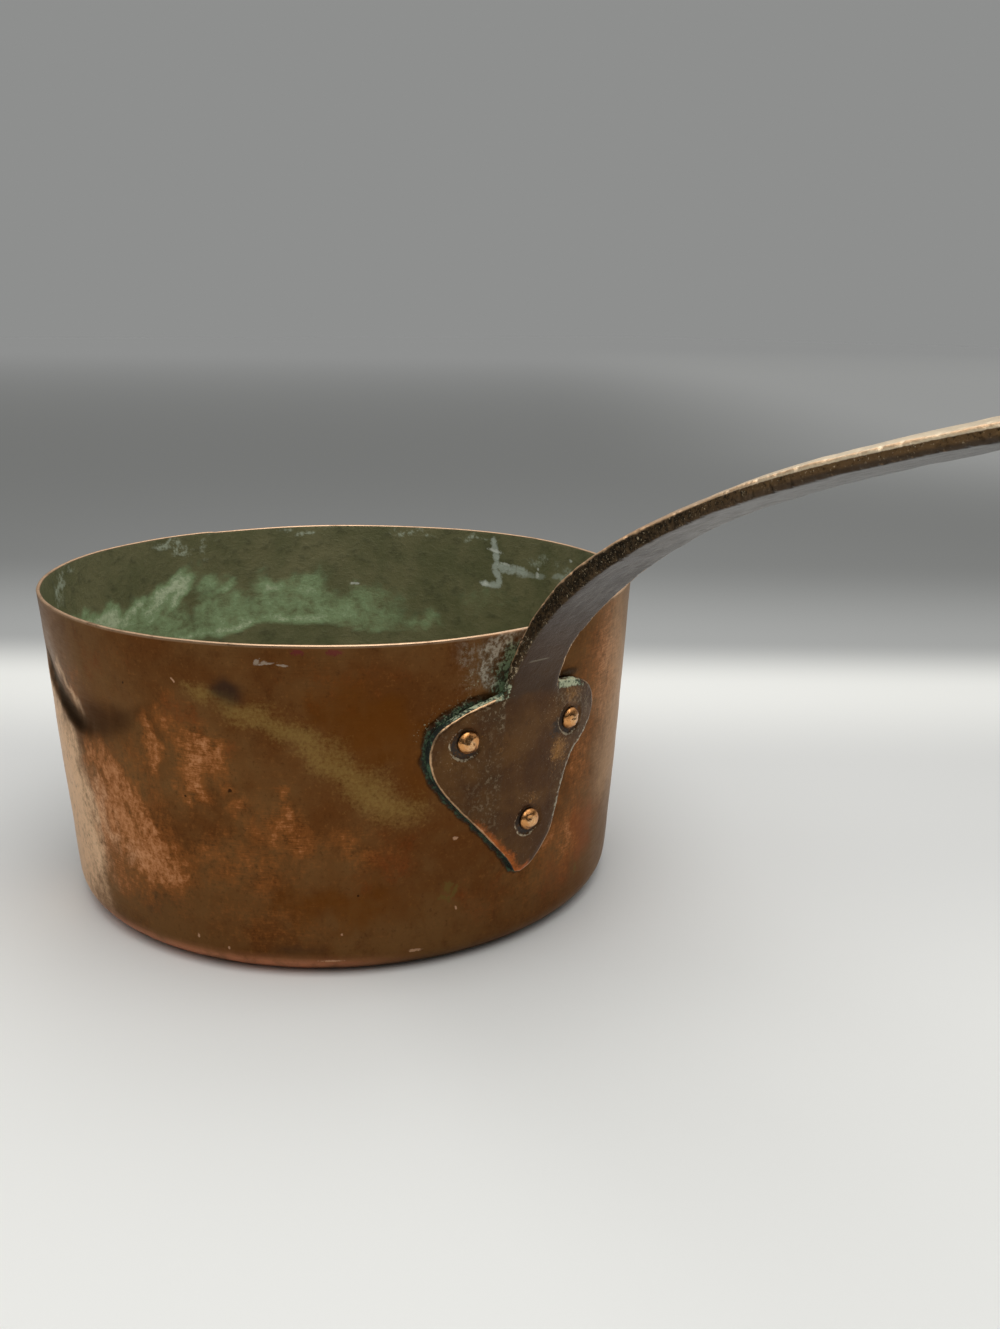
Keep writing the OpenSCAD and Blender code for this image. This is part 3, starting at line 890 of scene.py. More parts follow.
class Paint:
    """A material or a world, written node by node."""

    def __init__(self, owner, shader="Principled BSDF", where="Object"):
        self.owner = owner
        owner.use_nodes = True
        self.tree = owner.node_tree
        self.shader = self.tree.nodes[shader]
        self.here = self.node("ShaderNodeTexCoord", out=where)

    def node(self, kind, settings=None, inputs=None, out=0):
        """One node, with its settings and what goes into its sockets."""
        made = self.tree.nodes.new(kind)
        for key, value in (settings or {}).items():
            setattr(made, key, value)
        for key, value in (inputs or {}).items():
            self.feed(self.socket(made, key), value)
        return Value(self, made.outputs[out])

    @staticmethod
    def socket(made, key):
        """An input by its number or its name."""
        if isinstance(key, int):
            return made.inputs[key]
        return next(s for s in made.inputs if key in (s.identifier, s.name))

    def feed(self, socket, value):
        """Links a value to a socket, or sets the socket to a plain number."""
        if isinstance(value, Value):
            self.tree.links.new(value.socket, socket)
        else:
            socket.default_value = value

    def finish(self, **values):
        """Feeds the shader: each word is a socket's name, with _ for a space."""
        for key, value in values.items():
            self.feed(self.shader.inputs[key.replace("_", " ")], value)
        return self.owner

    def mask(self, name):
        """A number that the mesh keeps for each point."""
        return self.node("ShaderNodeAttribute", {"attribute_name": name}, out="Fac")

    def placed(self, place, turn, sizes):
        """Coordinates from a place, turned, and counted in sizes given in millimetres."""
        return self.node("ShaderNodeMapping", {"vector_type": "TEXTURE"}, {
            "Vector": self.here, "Location": tuple(MM * c for c in place),
            "Rotation": tuple(math.radians(a) for a in turn),
            "Scale": tuple(MM * s for s in sizes)})

    def noise(self, size, detail=3.0, rough=0.55, shift=0.0, turn=(0, 0, 0)):
        """Cloudy noise about 0.5. Size is one number, or one for each axis, in millimetres."""
        sizes = size if isinstance(size, tuple) else (size,) * 3
        put = self.placed([shift * s for s in sizes], turn, sizes)
        return self.node("ShaderNodeTexNoise", None,
                         {"Vector": put, "Scale": 1.0, "Detail": detail, "Roughness": rough})

    def spot(self, az, z, wide, high, tilt=0.0, ragged=None):
        """1 within a small oval on the wall and 0 outside, its half sizes in millimetres."""
        a, r = math.radians(az), wall_r(z)
        put = self.placed((r * math.cos(a), r * math.sin(a), z), (tilt, 0, az), (8, wide, high))
        far = self.node("ShaderNodeVectorMath", {"operation": "LENGTH"}, {0: put}, out="Value")
        if ragged:
            far = far + (ragged - 0.5) * 2.4
        return self.step(far, 1.15, 0.55)

    def spots(self, places, ragged=None):
        """Several small ovals taken together."""
        return functools.reduce(Value.__or__, [self.spot(*place, ragged=ragged) for place in places])

    def smear(self, places, wide, ragged=None):
        """Overlapping spots that follow a line of angles and heights on the wall."""
        row = []
        for (a, z), (b, y) in zip(places, places[1:]):
            run = math.radians(b - a) * WALL_MEAN
            row.append(((a + b) / 2, (z + y) / 2, math.hypot(run, y - z) / 2 + wide * 0.8, wide,
                        math.degrees(math.atan2(y - z, run))))
        return self.spots(row, ragged)

    def step(self, value, low, high):
        """A soft step from 0 at low to 1 at high."""
        return self.node("ShaderNodeMapRange", {"interpolation_type": "SMOOTHSTEP"},
                         {"Value": value, "From Min": low, "From Max": high})

    def broken(self, name, low, high, *parts):
        """A mask broken up by noises, each with its weight, and then made a soft step."""
        share = 1
        for noise, weight in parts:
            share = share + (noise - 0.5) * weight
        return self.step(self.mask(name) * share, low, high)

    def along(self, way):
        """How far each place lies along a direction."""
        return self.node("ShaderNodeVectorMath", {"operation": "DOT_PRODUCT"},
                         {0: self.here, 1: way}, out="Value")

    def coat(self, over, share):
        """Lays one more colour over all that is there so far."""
        self.colour = self.mix(self.colour, over, share)

    def mix(self, base, over, share):
        """One colour laid over another. Either can be a colour's code."""
        base, over = (srgb(c) if isinstance(c, str) else c for c in (base, over))
        return self.node("ShaderNodeMix", {"data_type": "RGBA"},
                         {"Factor_Float": share, "A_Color": base, "B_Color": over},
                         out=2)

    def bump(self, height, depth, below=None):
        """Relief, from a height of 0 to 1 and a depth in millimetres."""
        inputs = {"Height": height, "Distance": depth * MM, "Strength": 1.0}
        if below:
            inputs["Normal"] = below
        return self.node("ShaderNodeBump", None, inputs)


# %% [markdown]
# ## Masks on the casting
# The holes changed the handle's mesh, so the places of its points are asked for once more.
# Its edges are rubbed and carry painted highlights, its crowned top has a painted highlight and
# its underside a painted grey reflection. Its sides are dark and pitted, and grime and painted
# shadow sit round the rivets.

# %% Marks on the handle's bar
cast = points_of(handle.data)
cast_y, cast_z = cast[:, 1], cast[:, 2]
s, across, rise = on_bar(cast)
proud = proud_of_wall(cast)
half_w, half_t = bar_w(s) / 2, bar_t(s) / 2
is_bar = smooth(3.2, 4.4, proud)
# The grey mask marks where the bar's underside gets a painted grey reflection of the floor.
far, grey_reflection = smooth(85, 165, s), is_bar * smooth(28, 70, s)
flank = is_bar * smooth(half_w - 1.2, half_w - 0.3, np.abs(across))
flank *= 1 - 0.85 * far * smooth(0.1, -1.0, rise)
# The crowned top gets a painted highlight; the edges get painted highlights over some rubbed metal.
upper = is_bar * smooth(half_t - 0.7 - 0.9 * far, half_t + 0.1 - 0.7 * far, rise)
low_edge = is_bar * peak(np.hypot(np.abs(across) - half_w + 0.5, rise + half_t - 0.5), 0, 0.9)
top_edge = is_bar * peak(np.hypot(np.abs(across) - half_w + 0.2, rise - half_t), 0, 0.9)
scratch = peak(s + 0.006 * across**2, 24.8, 0.26) * smooth(-7, -5, across) * smooth(2.5, 0, across)
print("bar points", int((is_bar > 0.5).sum()))

# %% Marks on the handle's plate
on_plate = 1 - is_bar
depth = np.full(len(cast), FAR_OFF)
low_down = proud < 4.2
depth[low_down] = outline_depth(cast_y[low_down], cast_z[low_down])
from_left = smooth(10, 0, cast_y)
# A painted highlight over rubbed metal along the plate's edge.
plate_edge = on_plate * peak(depth, 0, 0.75) * smooth(2.0, 3.0, proud)
plate_side = on_plate * smooth(0.9, 0.2, depth) * smooth(3.1, 2.4, proud)
tip_line = plate_edge * smooth(48, 43, cast_z) * smooth(1, 3, cast_y)
plate_edge = np.maximum(plate_edge, 1.8 * tip_line)


def near_point(y, z, wide, high):
    """A soft oval mark on the plate."""
    return peak(cast_y, y, wide) * peak(cast_z, z, high)


glow = on_plate * peak(np.maximum(depth, 0), 0, 3.2) * smooth(62, 46, cast_z) * smooth(8, 3, cast_y)
warm = on_plate * most(
    near_point(20, 89, 6, 5), 0.95 * near_point(15, 71, 6, 7), 0.7 * near_point(3, 56, 4, 3),
)
dusty = on_plate * most(
    near_point(-15, 73, 9, 3), near_point(16.5, 71, 6, 5), near_point(2, 57, 5, 3),
    near_point(-27, 76, 3, 5), near_point(12, 86, 8, 8), np.full(len(cast), 0.35),
)
right_edge = on_plate * peak(depth, 0.4, 1.0) * smooth(10, 14, cast_y)
chalk_and_glint = right_edge * smooth(43, 47, cast_z) * smooth(84, 74, cast_z)
# A painted glint on the plate's right edge joins the chalk here.
chalk_and_glint = np.maximum(chalk_and_glint, 1.6 * near_point(16.4, 50, 0.9, 1.8))
print("plate points", int((depth > 0).sum()))

# %% Grime and painted shadow round the rivets, and mint green where damp stays
grime_and_shadow, seat_rim_highlight = np.zeros(len(cast)), np.zeros(len(cast))
for name, rivet_frame in rivet_frames.items():
    d = from_rivet(cast, rivet_frame, *SEAT_SHIFTS[name]) + 0.25 * swell(cast, 6, 21)
    y, z = RIVETS[name]
    low_left = smooth(3.5, -3.5, (cast_y - y) + 0.7 * (cast_z - z))
    # Grime round each head, with painted shadow that is darker at its lower left.
    grime_and_shadow = np.maximum(grime_and_shadow, smooth(6.0, 4.6, d) * (0.45 + 0.55 * low_left))
    # A painted highlight on the rim of each hammer mark, brighter at its lower left.
    seat_rim_highlight = np.maximum(seat_rim_highlight, peak(d, 5.5, 0.4) * (0.25 + 0.75 * low_left))
grime_and_shadow = on_plate * np.maximum(grime_and_shadow, 0.9 * near_point(13.5, 78.5, 4, 4.5))

NOTCH, NOTCH_REACH = (110, -10.5, 94.8), (6, 4, 2.6)
mint_notch = from_left * peak(np.linalg.norm((cast - NOTCH) / NOTCH_REACH, axis=1), 0, 1)
foot_line = peak(cast_y + half_w - ROOT_RIGHT, 0, 1.2) * smooth(94, 96, cast_z)
mint_line = foot_line * smooth(106, 100, cast_z) * smooth(20, 12, s)
mint_lobe = on_plate * peak(depth, 1.4, 1.5) * smooth(86, 89, cast_z)
mint_lobe = mint_lobe * smooth(11, 13.5, cast_y) * smooth(28, 23, cast_y)
mint_top = plate_side * smooth(86, 91, cast_z) * smooth(-4, -8, cast_y)
mint = most(mint_notch * smooth(1.6, 0.4, depth), 0.9 * mint_line, mint_lobe, 0.7 * mint_top)

cast_masks = {
    "is_bar": is_bar, "far": far, "grey_reflection": grey_reflection, "flank": flank, "upper": upper,
    "low_edge": low_edge, "top_edge": top_edge, "neck": flank * smooth(42, 22, s),
    "crown": smooth(-0.6, 0.9, across / half_w), "scratch": scratch * is_bar * (rise < 0),
    "right": smooth(0, 6, cast_y), "plate_edge": plate_edge, "plate_side": plate_side * from_left,
    "glow": glow, "warm": warm, "dusty": dusty, "chalk_and_glint": chalk_and_glint, "grime_and_shadow": grime_and_shadow,
    "seat_rim_highlight": on_plate * seat_rim_highlight, "mint": mint,
}
store(handle.data, **cast_masks)
print("marks:", ", ".join(cast_masks))

# %% [markdown]
# ## The rivets
# Three copper rivets do the same work, so one Geometry Nodes tree makes them all. It presses
# a ball into the shape of a rivet: curves say how wide and how high the rivet is for each
# step down the ball. A copy stands on each place, and noise then dents each head differently.

# %% Build the rivet tree
tree = bpy.data.node_groups.new("copper rivets", "GeometryNodeTree")
tree.is_modifier = True


def tree_socket(name, kind, in_out="INPUT"):
    """A named input or output of the tree."""
    return tree.interface.new_socket(name=name, in_out=in_out, socket_type=kind)


tree_socket("Geometry", "NodeSocketGeometry")
tree_socket("Geometry", "NodeSocketGeometry", "OUTPUT")
for word in ("Head width", "Head height", "Shank width", "Grip", "Inner head width",
             "Inner head height", "Hammer depth", "Hammer size"):
    tree_socket(word, "NodeSocketFloat")
tree_socket("Seed", "NodeSocketFloat")
tree_socket("Finish", "NodeSocketMaterial")


def gn(kind, settings=None, inputs=None):
    """One node of the tree, with its settings and what goes into its sockets."""
    made = tree.nodes.new(kind)
    for key, value in (settings or {}).items():
        setattr(made, key, value)
    for key, value in (inputs or {}).items():
        socket = made.inputs[key]
        if isinstance(value, bpy.types.NodeSocket):
            tree.links.new(value, socket)
        else:
            socket.default_value = value
    return made


def gn_math(operation, *values):
    """One sum in the tree."""
    return gn("ShaderNodeMath", {"operation": operation}, dict(enumerate(values))).outputs[0]


def profile_curve(share, places):
    """A curve with straight pieces through the places."""
    made = gn("ShaderNodeFloatCurve", None, {"Value": share})
    points = made.mapping.curves[0].points
    while len(points) < len(places):
        points.new(0.5, 0.5)
    for point, place in zip(points, places):
        point.location = place
        point.handle_type = "VECTOR"
    made.mapping.use_clip = False
    made.mapping.update()
    return made.outputs[0]


given = tree.nodes.new("NodeGroupInput").outputs
ball = gn("GeometryNodeMeshUVSphere", None, {"Segments": 40, "Rings": 60, "Radius": 1.0})
at = gn("ShaderNodeSeparateXYZ", None, {0: gn("GeometryNodeInputPosition").outputs[0]})
down = gn_math("DIVIDE", gn_math("ARCCOSINE", at.outputs[2]), math.pi)
flat_r = gn_math("SQRT", gn_math("MAXIMUM", gn_math(
    "ADD", gn_math("POWER", at.outputs[0], 2.0), gn_math("POWER", at.outputs[1], 2.0)), 1e-9))

print("ball:", len(tree.nodes), "nodes")

# %% [markdown]
# The curves start from how far down the ball a point lies, from 0 at its top to 1 at its
# bottom. The outer head comes first, then the shank, then the inner head.

# %% Curves for the rivet's shape
HEAD_END, SHANK_FROM, SHANK_TO, INNER_FROM = 0.45, 0.5, 0.62, 0.67
DOME = [(k / 12, math.sin(k / 12 * math.pi / 2)) for k in range(13)]
head_r = profile_curve(down, [(x * HEAD_END, y) for x, y in DOME] + [(SHANK_FROM, 0), (1, 0)])
head_up = profile_curve(down, [(x * HEAD_END, math.sqrt(max(0, 1 - y * y))) for x, y in DOME]
                        + [(1, 0)])
inner_r_share = profile_curve(down, [(0, 0), (SHANK_TO, 0)] + [
    (1 - x * (1 - INNER_FROM), y) for x, y in reversed(DOME)])
inner_down = profile_curve(down, [(0, 0)] + [
    (1 - x * (1 - INNER_FROM), math.sqrt(max(0, 1 - y * y))) for x, y in reversed(DOME)])
shank = profile_curve(down, [(0, 0), (HEAD_END, 0), (SHANK_FROM, 1), (SHANK_TO, 1),
                             (INNER_FROM, 0), (1, 0)])
below = profile_curve(down, [(0, 0), (SHANK_FROM, 0), (SHANK_TO, 1), (1, 1)])
print("curves:", len(tree.nodes), "nodes")

# %% Press the ball into a rivet
half_head = gn_math("MULTIPLY", given["Head width"], 0.5)
half_inner = gn_math("MULTIPLY", given["Inner head width"], 0.5)
half_shank = gn_math("MULTIPLY", given["Shank width"], 0.5)
wide = gn_math("MAXIMUM", gn_math("MULTIPLY", head_r, half_head), gn_math(
    "MAXIMUM", gn_math("MULTIPLY", inner_r_share, half_inner), gn_math(
        "MULTIPLY", shank, half_shank)))
high = gn_math("SUBTRACT", gn_math("MULTIPLY", head_up, given["Head height"]), gn_math(
    "ADD", gn_math("MULTIPLY", below, given["Grip"]), gn_math(
        "MULTIPLY", inner_down, given["Inner head height"])))
grown = gn_math("DIVIDE", wide, flat_r)
pressed_at = gn("ShaderNodeCombineXYZ", None, {
    0: gn_math("MULTIPLY", at.outputs[0], grown),
    1: gn_math("MULTIPLY", at.outputs[1], grown), 2: high})
keep = gn("GeometryNodeStoreNamedAttribute", {"data_type": "FLOAT", "domain": "POINT"}, {
    "Geometry": ball.outputs[0], "Name": "head_up", "Value": head_up})
keep_inner = gn("GeometryNodeStoreNamedAttribute", {"data_type": "FLOAT", "domain": "POINT"}, {
    "Geometry": keep.outputs[0], "Name": "inner_up", "Value": inner_down})
pressed = gn("GeometryNodeSetPosition", None, {
    "Geometry": keep_inner.outputs[0], "Position": pressed_at.outputs[0]})
print("pressed:", len(tree.nodes), "nodes")

# %% Stand the rivets, hammer their heads and finish them
HAMMER_LEVEL = 0.62
turn_asked = gn("GeometryNodeInputNamedAttribute", {"data_type": "FLOAT_VECTOR"}, {"Name": "turn"})
rotation = gn("FunctionNodeEulerToRotation", None, {0: turn_asked.outputs[0]})
stood = gn("GeometryNodeInstanceOnPoints", None, {
    "Points": given["Geometry"], "Instance": pressed.outputs[0], "Rotation": rotation.outputs[0]})
real = gn("GeometryNodeRealizeInstances", None, {"Geometry": stood.outputs[0]})
frequency = gn_math("DIVIDE", 1.0, given["Hammer size"])
dents = gn("ShaderNodeTexNoise", {"noise_dimensions": "4D"}, {
    "W": given["Seed"], "Scale": frequency, "Detail": 1.0})
hammer_push = gn_math("MULTIPLY", gn_math("SUBTRACT", dents.outputs[0], HAMMER_LEVEL),
                      given["Hammer depth"])
on_head = gn("GeometryNodeInputNamedAttribute", {"data_type": "FLOAT"}, {"Name": "head_up"})
push = gn_math("MULTIPLY", hammer_push, on_head.outputs[0])
offset_by = gn("ShaderNodeVectorMath", {"operation": "SCALE"}, {
    0: gn("GeometryNodeInputNormal").outputs[0], "Scale": push})
hammered = gn("GeometryNodeSetPosition", None, {
    "Geometry": real.outputs[0], "Offset": offset_by.outputs[0]})
rounded = gn("GeometryNodeSetShadeSmooth", None, {"Geometry": hammered.outputs[0]})
finished = gn("GeometryNodeSetMaterial", None, {
    "Geometry": rounded.outputs[0], "Material": given["Finish"]})
tree.links.new(finished.outputs[0], tree.nodes.new("NodeGroupOutput").inputs[0])
print("rivet tree:", len(tree.nodes), "nodes")

# %% Set the three rivets
rivet_finish = bpy.data.materials.new("rivet_copper_bright")
SHANK_FIT, INNER_CLEAR = 0.1, 0.12
seat_height = FIT_GAP + PLATE_T - SEAT_DEPTH
inside_seat = WALL_T + FIT_GAP + INNER_CLEAR
places = [f @ Vector((0, 0, seat_height)) for f in rivet_frames.values()]
rivets = new_piece("rivets", places, [])
turn_layer = rivets.data.attributes.new("turn", "FLOAT_VECTOR", "POINT")
for item, rivet_frame in zip(turn_layer.data, rivet_frames.values()):
    item.vector = rivet_frame.to_euler()
setting = rivets.modifiers.new("rivets", "NODES")
setting.node_group = tree
sizes = {
    "Head width": HEAD_D * MM, "Head height": HEAD_H * MM,
    "Shank width": (SHANK_D - SHANK_FIT) * MM, "Grip": (seat_height + inside_seat) * MM,
    "Inner head width": INNER_HEAD_D * MM, "Inner head height": INNER_HEAD_H * MM,
    "Hammer depth": 2.0 * MM, "Hammer size": 3.2 * MM, "Seed": 4.0, "Finish": rivet_finish,
}
for item in tree.interface.items_tree:
    if item.in_out == "INPUT" and item.name in sizes:
        setting[item.identifier] = sizes[item.name]
settled(rivets)
print("rivets:", len(rivets.data.polygons), "faces", list(rivets.data.attributes.keys()))

# %% [markdown]
# ## Old copper
# Copper kept for cooking is never one colour. Brown oxide lies over all of it, rubbed back to
# orange metal where hands and cloths pass, and it turns olive or purple where it was heated.
# The colour is built in layers, from the brown upwards. Polishing by hand leaves fine marks
# that run round the wall: noise drawn out along the wall gives them, in relief and in gloss.

# %% Noises for the outside of the pan
COPPER_GLANCE = srgb("f3e6d8")
p = Paint(copper_skin)
DIAGONAL = (6.1, -19.1, 0)
clouds = p.noise(38, 4, 0.6)
mottle = p.noise((9, 9, 13), 6, 0.66, 3.1)
blotch = p.noise((2.4, 2.4, 3.2), 6, 0.7, 12.0)
streaks = p.noise((3.2, 3.2, 15), 6, 0.66, 7.7, DIAGONAL)
fibres = p.noise((1.0, 1.0, 5), 5, 0.66, 2.0, DIAGONAL)
grain = p.noise((7, 7, 0.8), 4, 0.7, 1.3)
hairs = p.noise((4.5, 4.5, 0.42), 3, 0.62, 4.4)
fine = p.noise(1.1, 4, 0.65, 5.2)
print("noises for", copper_skin.name)

# %% Brown oxide, and where the copper was heated
p.colour = p.mix("603a1b", "6d4c2b", p.step(clouds, 0.36, 0.64))
p.coat("4b2a12", p.step(mottle, 0.5, 0.74) * 0.5)
speckle = fine * 0.55 + blotch * 0.45
p.coat("86592f", p.step(speckle, 0.52, 0.68) * 0.35)
p.coat("3a210f", p.step(speckle, 0.47, 0.34) * 0.35)
frayed = (mottle - 0.5) * 1.4 + (fine - 0.5) * 0.7
p.coat("64380f", p.step(p.mask("umber") + frayed * 0.6, 0.1, 1.0) * 0.7)
speckled = (fine - 0.5) * 1.8 + (mottle - 0.5) * 0.4 + (grain - 0.5) * 0.7
p.coat("8f7440", p.step(p.mask("olive") + speckled * 0.9, 0.2, 1.35) * 0.62)
p.coat("8a441f", p.step(p.mask("red") + frayed, 0.2, 1.05) * 0.55)
p.coat("33261f", p.step(p.mask("bruise") + frayed * 0.25, 0.1, 0.9) * 0.8)
print("oxide:", len(p.tree.nodes), "nodes")

# %% Rubbed copper, painted reflections, and painted shade in the dent's hollow and fold
slanting = (streaks - 0.5) * 1.5 + (fibres - 0.5) * 1.2 + (blotch - 0.5) * 1.8
cloudy = (mottle - 0.5) * 1.2 + (blotch - 0.5) * 2.0 + (hairs - 0.5) * 1.9
loose = cloudy + (slanting - cloudy) * p.mask("slant") * 0.75
loose = loose + (blotch - 0.5) * 1.1 + (fine - 0.5) * 1.6
worn = p.mask("worn")
rubbed = worn + loose * (worn * 0.52 + 0.17)
p.coat("96592b", p.step(rubbed, 0.12, 0.85) * 0.8)
p.coat("cf9468", p.step(rubbed, 0.5, 1.25) * 0.72)
# Painted reflections: tan on the right of the wall, pale on its left.
p.coat("c5a07e", p.step(p.mask("tan_reflection") + loose * 0.4 * p.mask("tan_reflection"), 0.1, 1.15) * 0.6)
reflected_paleness = p.step(p.mask("pale") + loose * 0.6 * p.mask("pale"), 0.15, 1.1)
p.coat(p.mix("eecaa6", "c58f66", p.mask("behind_left")), reflected_paleness * 0.88)
# Painted shade in the dent's hollow and along its fold.
p.coat("43260f", p.step(p.mask("hollow") + (blotch - 0.5) * 0.7, 0.05, 1.0) * 0.85)
shaded_crease = p.step(p.mask("crease_shade") + (fine - 0.5) * 0.3 + (blotch - 0.5) * 0.3, 0.15, 0.85)
p.coat("26160a", shaded_crease * 0.92)
# Painted reflection of the floor on the foot's rounded corner.
p.coat("cf8a66", p.mask("rosy_reflection") * p.step(mottle, 0.25, 0.55) * 0.9)
print("rubbed copper:", len(p.tree.nodes), "nodes")

# %% [markdown]
# Each small spot has its angle round the wall, its height, its half sizes in millimetres and,
# where it lies aslant, its tilt in degrees.

# %% Small spots, scuffs and stains
SPECKS = [(-51.3, 65.9, 0.7, 0.9), (-71, 97, 0.5, 0.5), (-30, 30, 0.4, 0.5), (-60, 62, 0.5, 0.4)]
FLECKS = [(-60.2, 11.6, 0.6, 0.8), (-12.6, 46.7, 0.9, 0.6), (-35.3, 6, 3.5, 0.5), (-19.8, 7.7, 2.2, 0.6),
          (-60.1, 101, 1.0, 0.4, -50), (-33, 16, 0.4, 0.5), (-54, 9, 0.5, 0.6), (-12, 21, 0.4, 1.0, 20)]
SCUFF = [(-43.8, 108.6, 3.4, 0.45, 8), (-45, 109.2, 1.6, 0.9, 50), (-44.0, 109.0, 1.2, 0.8),
         (-41.2, 108.2, 2.0, 0.4, -8)]
WINE_RED = [(-38.7, 112.4, 2.2, 1.0), (-32.8, 112.3, 2.6, 1.2)]
STAINS = [(-13.6, 29.5, 1.8, 2.2, 20), (-14.4, 25.5, 2.4, 1.0, -15), (-12.4, 27, 0.9, 3.4, -30),
          (19.8, 17.4, 1.3, 1.9)]
p.coat("1d120a", p.spots(SPECKS, fine) * 0.8)
p.coat("d2a684", p.spots(FLECKS, fine) * 0.6)
p.coat("b3a594", p.spots(SCUFF, fine + (mottle - 0.5)) * 0.55)
p.coat("6e1c33", p.spots(WINE_RED, fine) * 0.5)
p.coat("68552a", p.spots(STAINS, fine + (blotch - 0.5)) * 0.7)
print("spots:", len(p.tree.nodes), "nodes")

# %% Verdigris, lime, crust and dust by the plate, and a painted highlight on the rim
patina = fine + (blotch - 0.5) * 1.2
green = p.broken("verdigris", 0.25, 0.8, (blotch, 3), (fine, 2))
p.coat(p.mix("223226", "748f6c", p.step(patina, 0.42, 0.64)), green * 0.85)
limed = p.broken("lime", 0.02, 1.1, (blotch, 2.2), (fine, 2.2))
p.coat(p.mix("776b55", "b9b4a2", p.step(patina, 0.4, 0.68)), limed * 0.72)
crusted = p.broken("crust", 0.12, 0.75, (fine, 2.4), (blotch, 2))
crust_tone = p.mix("11170f", "3a5038", p.step(patina, 0.42, 0.7))
pale_crust = patina * 0.6 + p.mask("verdigris") + p.mask("dust") * 0.25
p.coat(p.mix(crust_tone, "b0bd92", p.step(pale_crust, 0.58, 0.85)), crusted)
halo = p.broken("crust", 0.0, 0.25, (mottle, 2))
p.coat("2c1c0f", (halo - crusted) * 0.7)
dusted = p.step(p.mask("dust") * p.step(p.noise(0.8, 3, 0.7, 21.0), 0.5, 0.72), 0.3, 0.8)
p.coat("a9ab8c", dusted * 0.55)
# A painted highlight along the rim's top.
p.coat("f3cda8", p.mask("rim") * p.step(mottle, 0.2, 0.5) * 0.85)
print("crust:", len(p.tree.nodes), "nodes")

# %% Gloss and relief of the outside
dull = crusted | limed | green
gloss = 0.37 + (grain - 0.5) * 0.22 + (mottle - 0.5) * 0.14 + (p.mask("hollow") | shaded_crease) * 0.12
relief = p.bump(p.noise((10, 10, 0.5), 3, 0.6, 2.2), 0.02)
relief = p.bump(fine * dull + grain * 0.12, 0.25, relief)
p.finish(Base_Color=p.colour, Metallic=1 - dull * 0.95, Roughness=gloss + dull * 0.4, Normal=relief,
         Specular_Tint=COPPER_GLANCE)
print(copper_skin.name, len(p.tree.nodes), "nodes")

# %% [markdown]
# ## The green inside
# The tin is long gone, and damp air has turned the bare copper inside olive and green, with
# paler clouds of verdigris low down and white lime where water dried. It is a dull mineral
# skin, so the material is hardly metal at all.

# %% The inside of the pan
p = Paint(green_skin)
clouds = p.noise(26, 5, 0.62, 4.0)
mottle = p.noise((6, 6, 4.5), 6, 0.68, 9.0)
fine = p.noise(1.5, 5, 0.68, 2.0)
p.colour = p.mix("72734f", "88845f", p.step(clouds, 0.35, 0.65))
p.coat("55553a", p.step(mottle, 0.48, 0.72) * 0.65)
cloudy = p.mask("cloud") * (1 + (mottle - 0.5) * 1.9 + (clouds - 0.5) * 1.2) + (mottle - 0.5) * 0.3
p.coat("a6bf8f", p.step(cloudy, 0.12, 0.8) * 0.9)
p.coat("e4efca", p.step(cloudy + (fine - 0.5) * 0.9, 0.68, 1.35) * 0.85)
p.coat("ccd5bd", p.broken("frost", 0.3, 0.95, (mottle, 4), (fine, 3)) * 0.78)
print("green inside:", len(p.tree.nodes), "nodes")

# %% [markdown]
# Lime dried in thin lines on the far wall. Each line has its width in millimetres, and then
# its places, each an angle and a height. The broad lines are the stronger ones.

# %% Lines of lime inside
CHALK_LINES = [
    (2.0, [(109.3, 111), (108.6, 106), (108, 101), (108.6, 97.5), (107, 94), (107.3, 90.5)]),
    (2.6, [(107.4, 99.5), (104.5, 98.4), (102, 99), (99.5, 98.2)]),
    (1.9, [(107, 90.6), (110, 90.2), (112, 90.6)]),
    (1.5, [(99.5, 98), (96, 97.6), (93, 98.4)]),
    (1.3, [(90, 99), (87.5, 100.5), (85, 98.5)]),
]
BRIGHT = [(145.7, 86.8, 2.4, 0.7), (111, 90.3, 2.6, 1.3), (95.4, 98.2, 1.4, 1.3), (95.2, 101, 0.7, 0.7),
          (108.7, 106, 1.0, 4.5, -84), (105.2, 100.6, 2.8, 0.6, 6), (84, 108, 1.5, 0.8)]
loose_chalk = fine * 0.55 + mottle * 0.45
BROAD, FAINT, STRONG = 1.8, 0.5, 0.9
for wide, places in CHALK_LINES:
    strength = FAINT if wide < BROAD else STRONG
    p.coat("cdd6c8", p.smear(places, wide, loose_chalk) * strength)
p.coat("eff3e8", p.spots(BRIGHT, fine) * 0.75)
relief = p.bump(mottle + fine * 0.3, 0.5)
p.finish(Base_Color=p.colour, Metallic=0.25, Roughness=0.5 + (mottle - 0.5) * 0.3, Normal=relief)
print(green_skin.name, len(p.tree.nodes), "nodes")

# %% [markdown]
# ## The cast handle
# The handle is a darker copper alloy under brown grime. Its sides keep the pitted skin of the
# sand mould, its faces are smooth, its edges are rubbed and carry painted highlights, and its
# crowned top has a painted highlight.

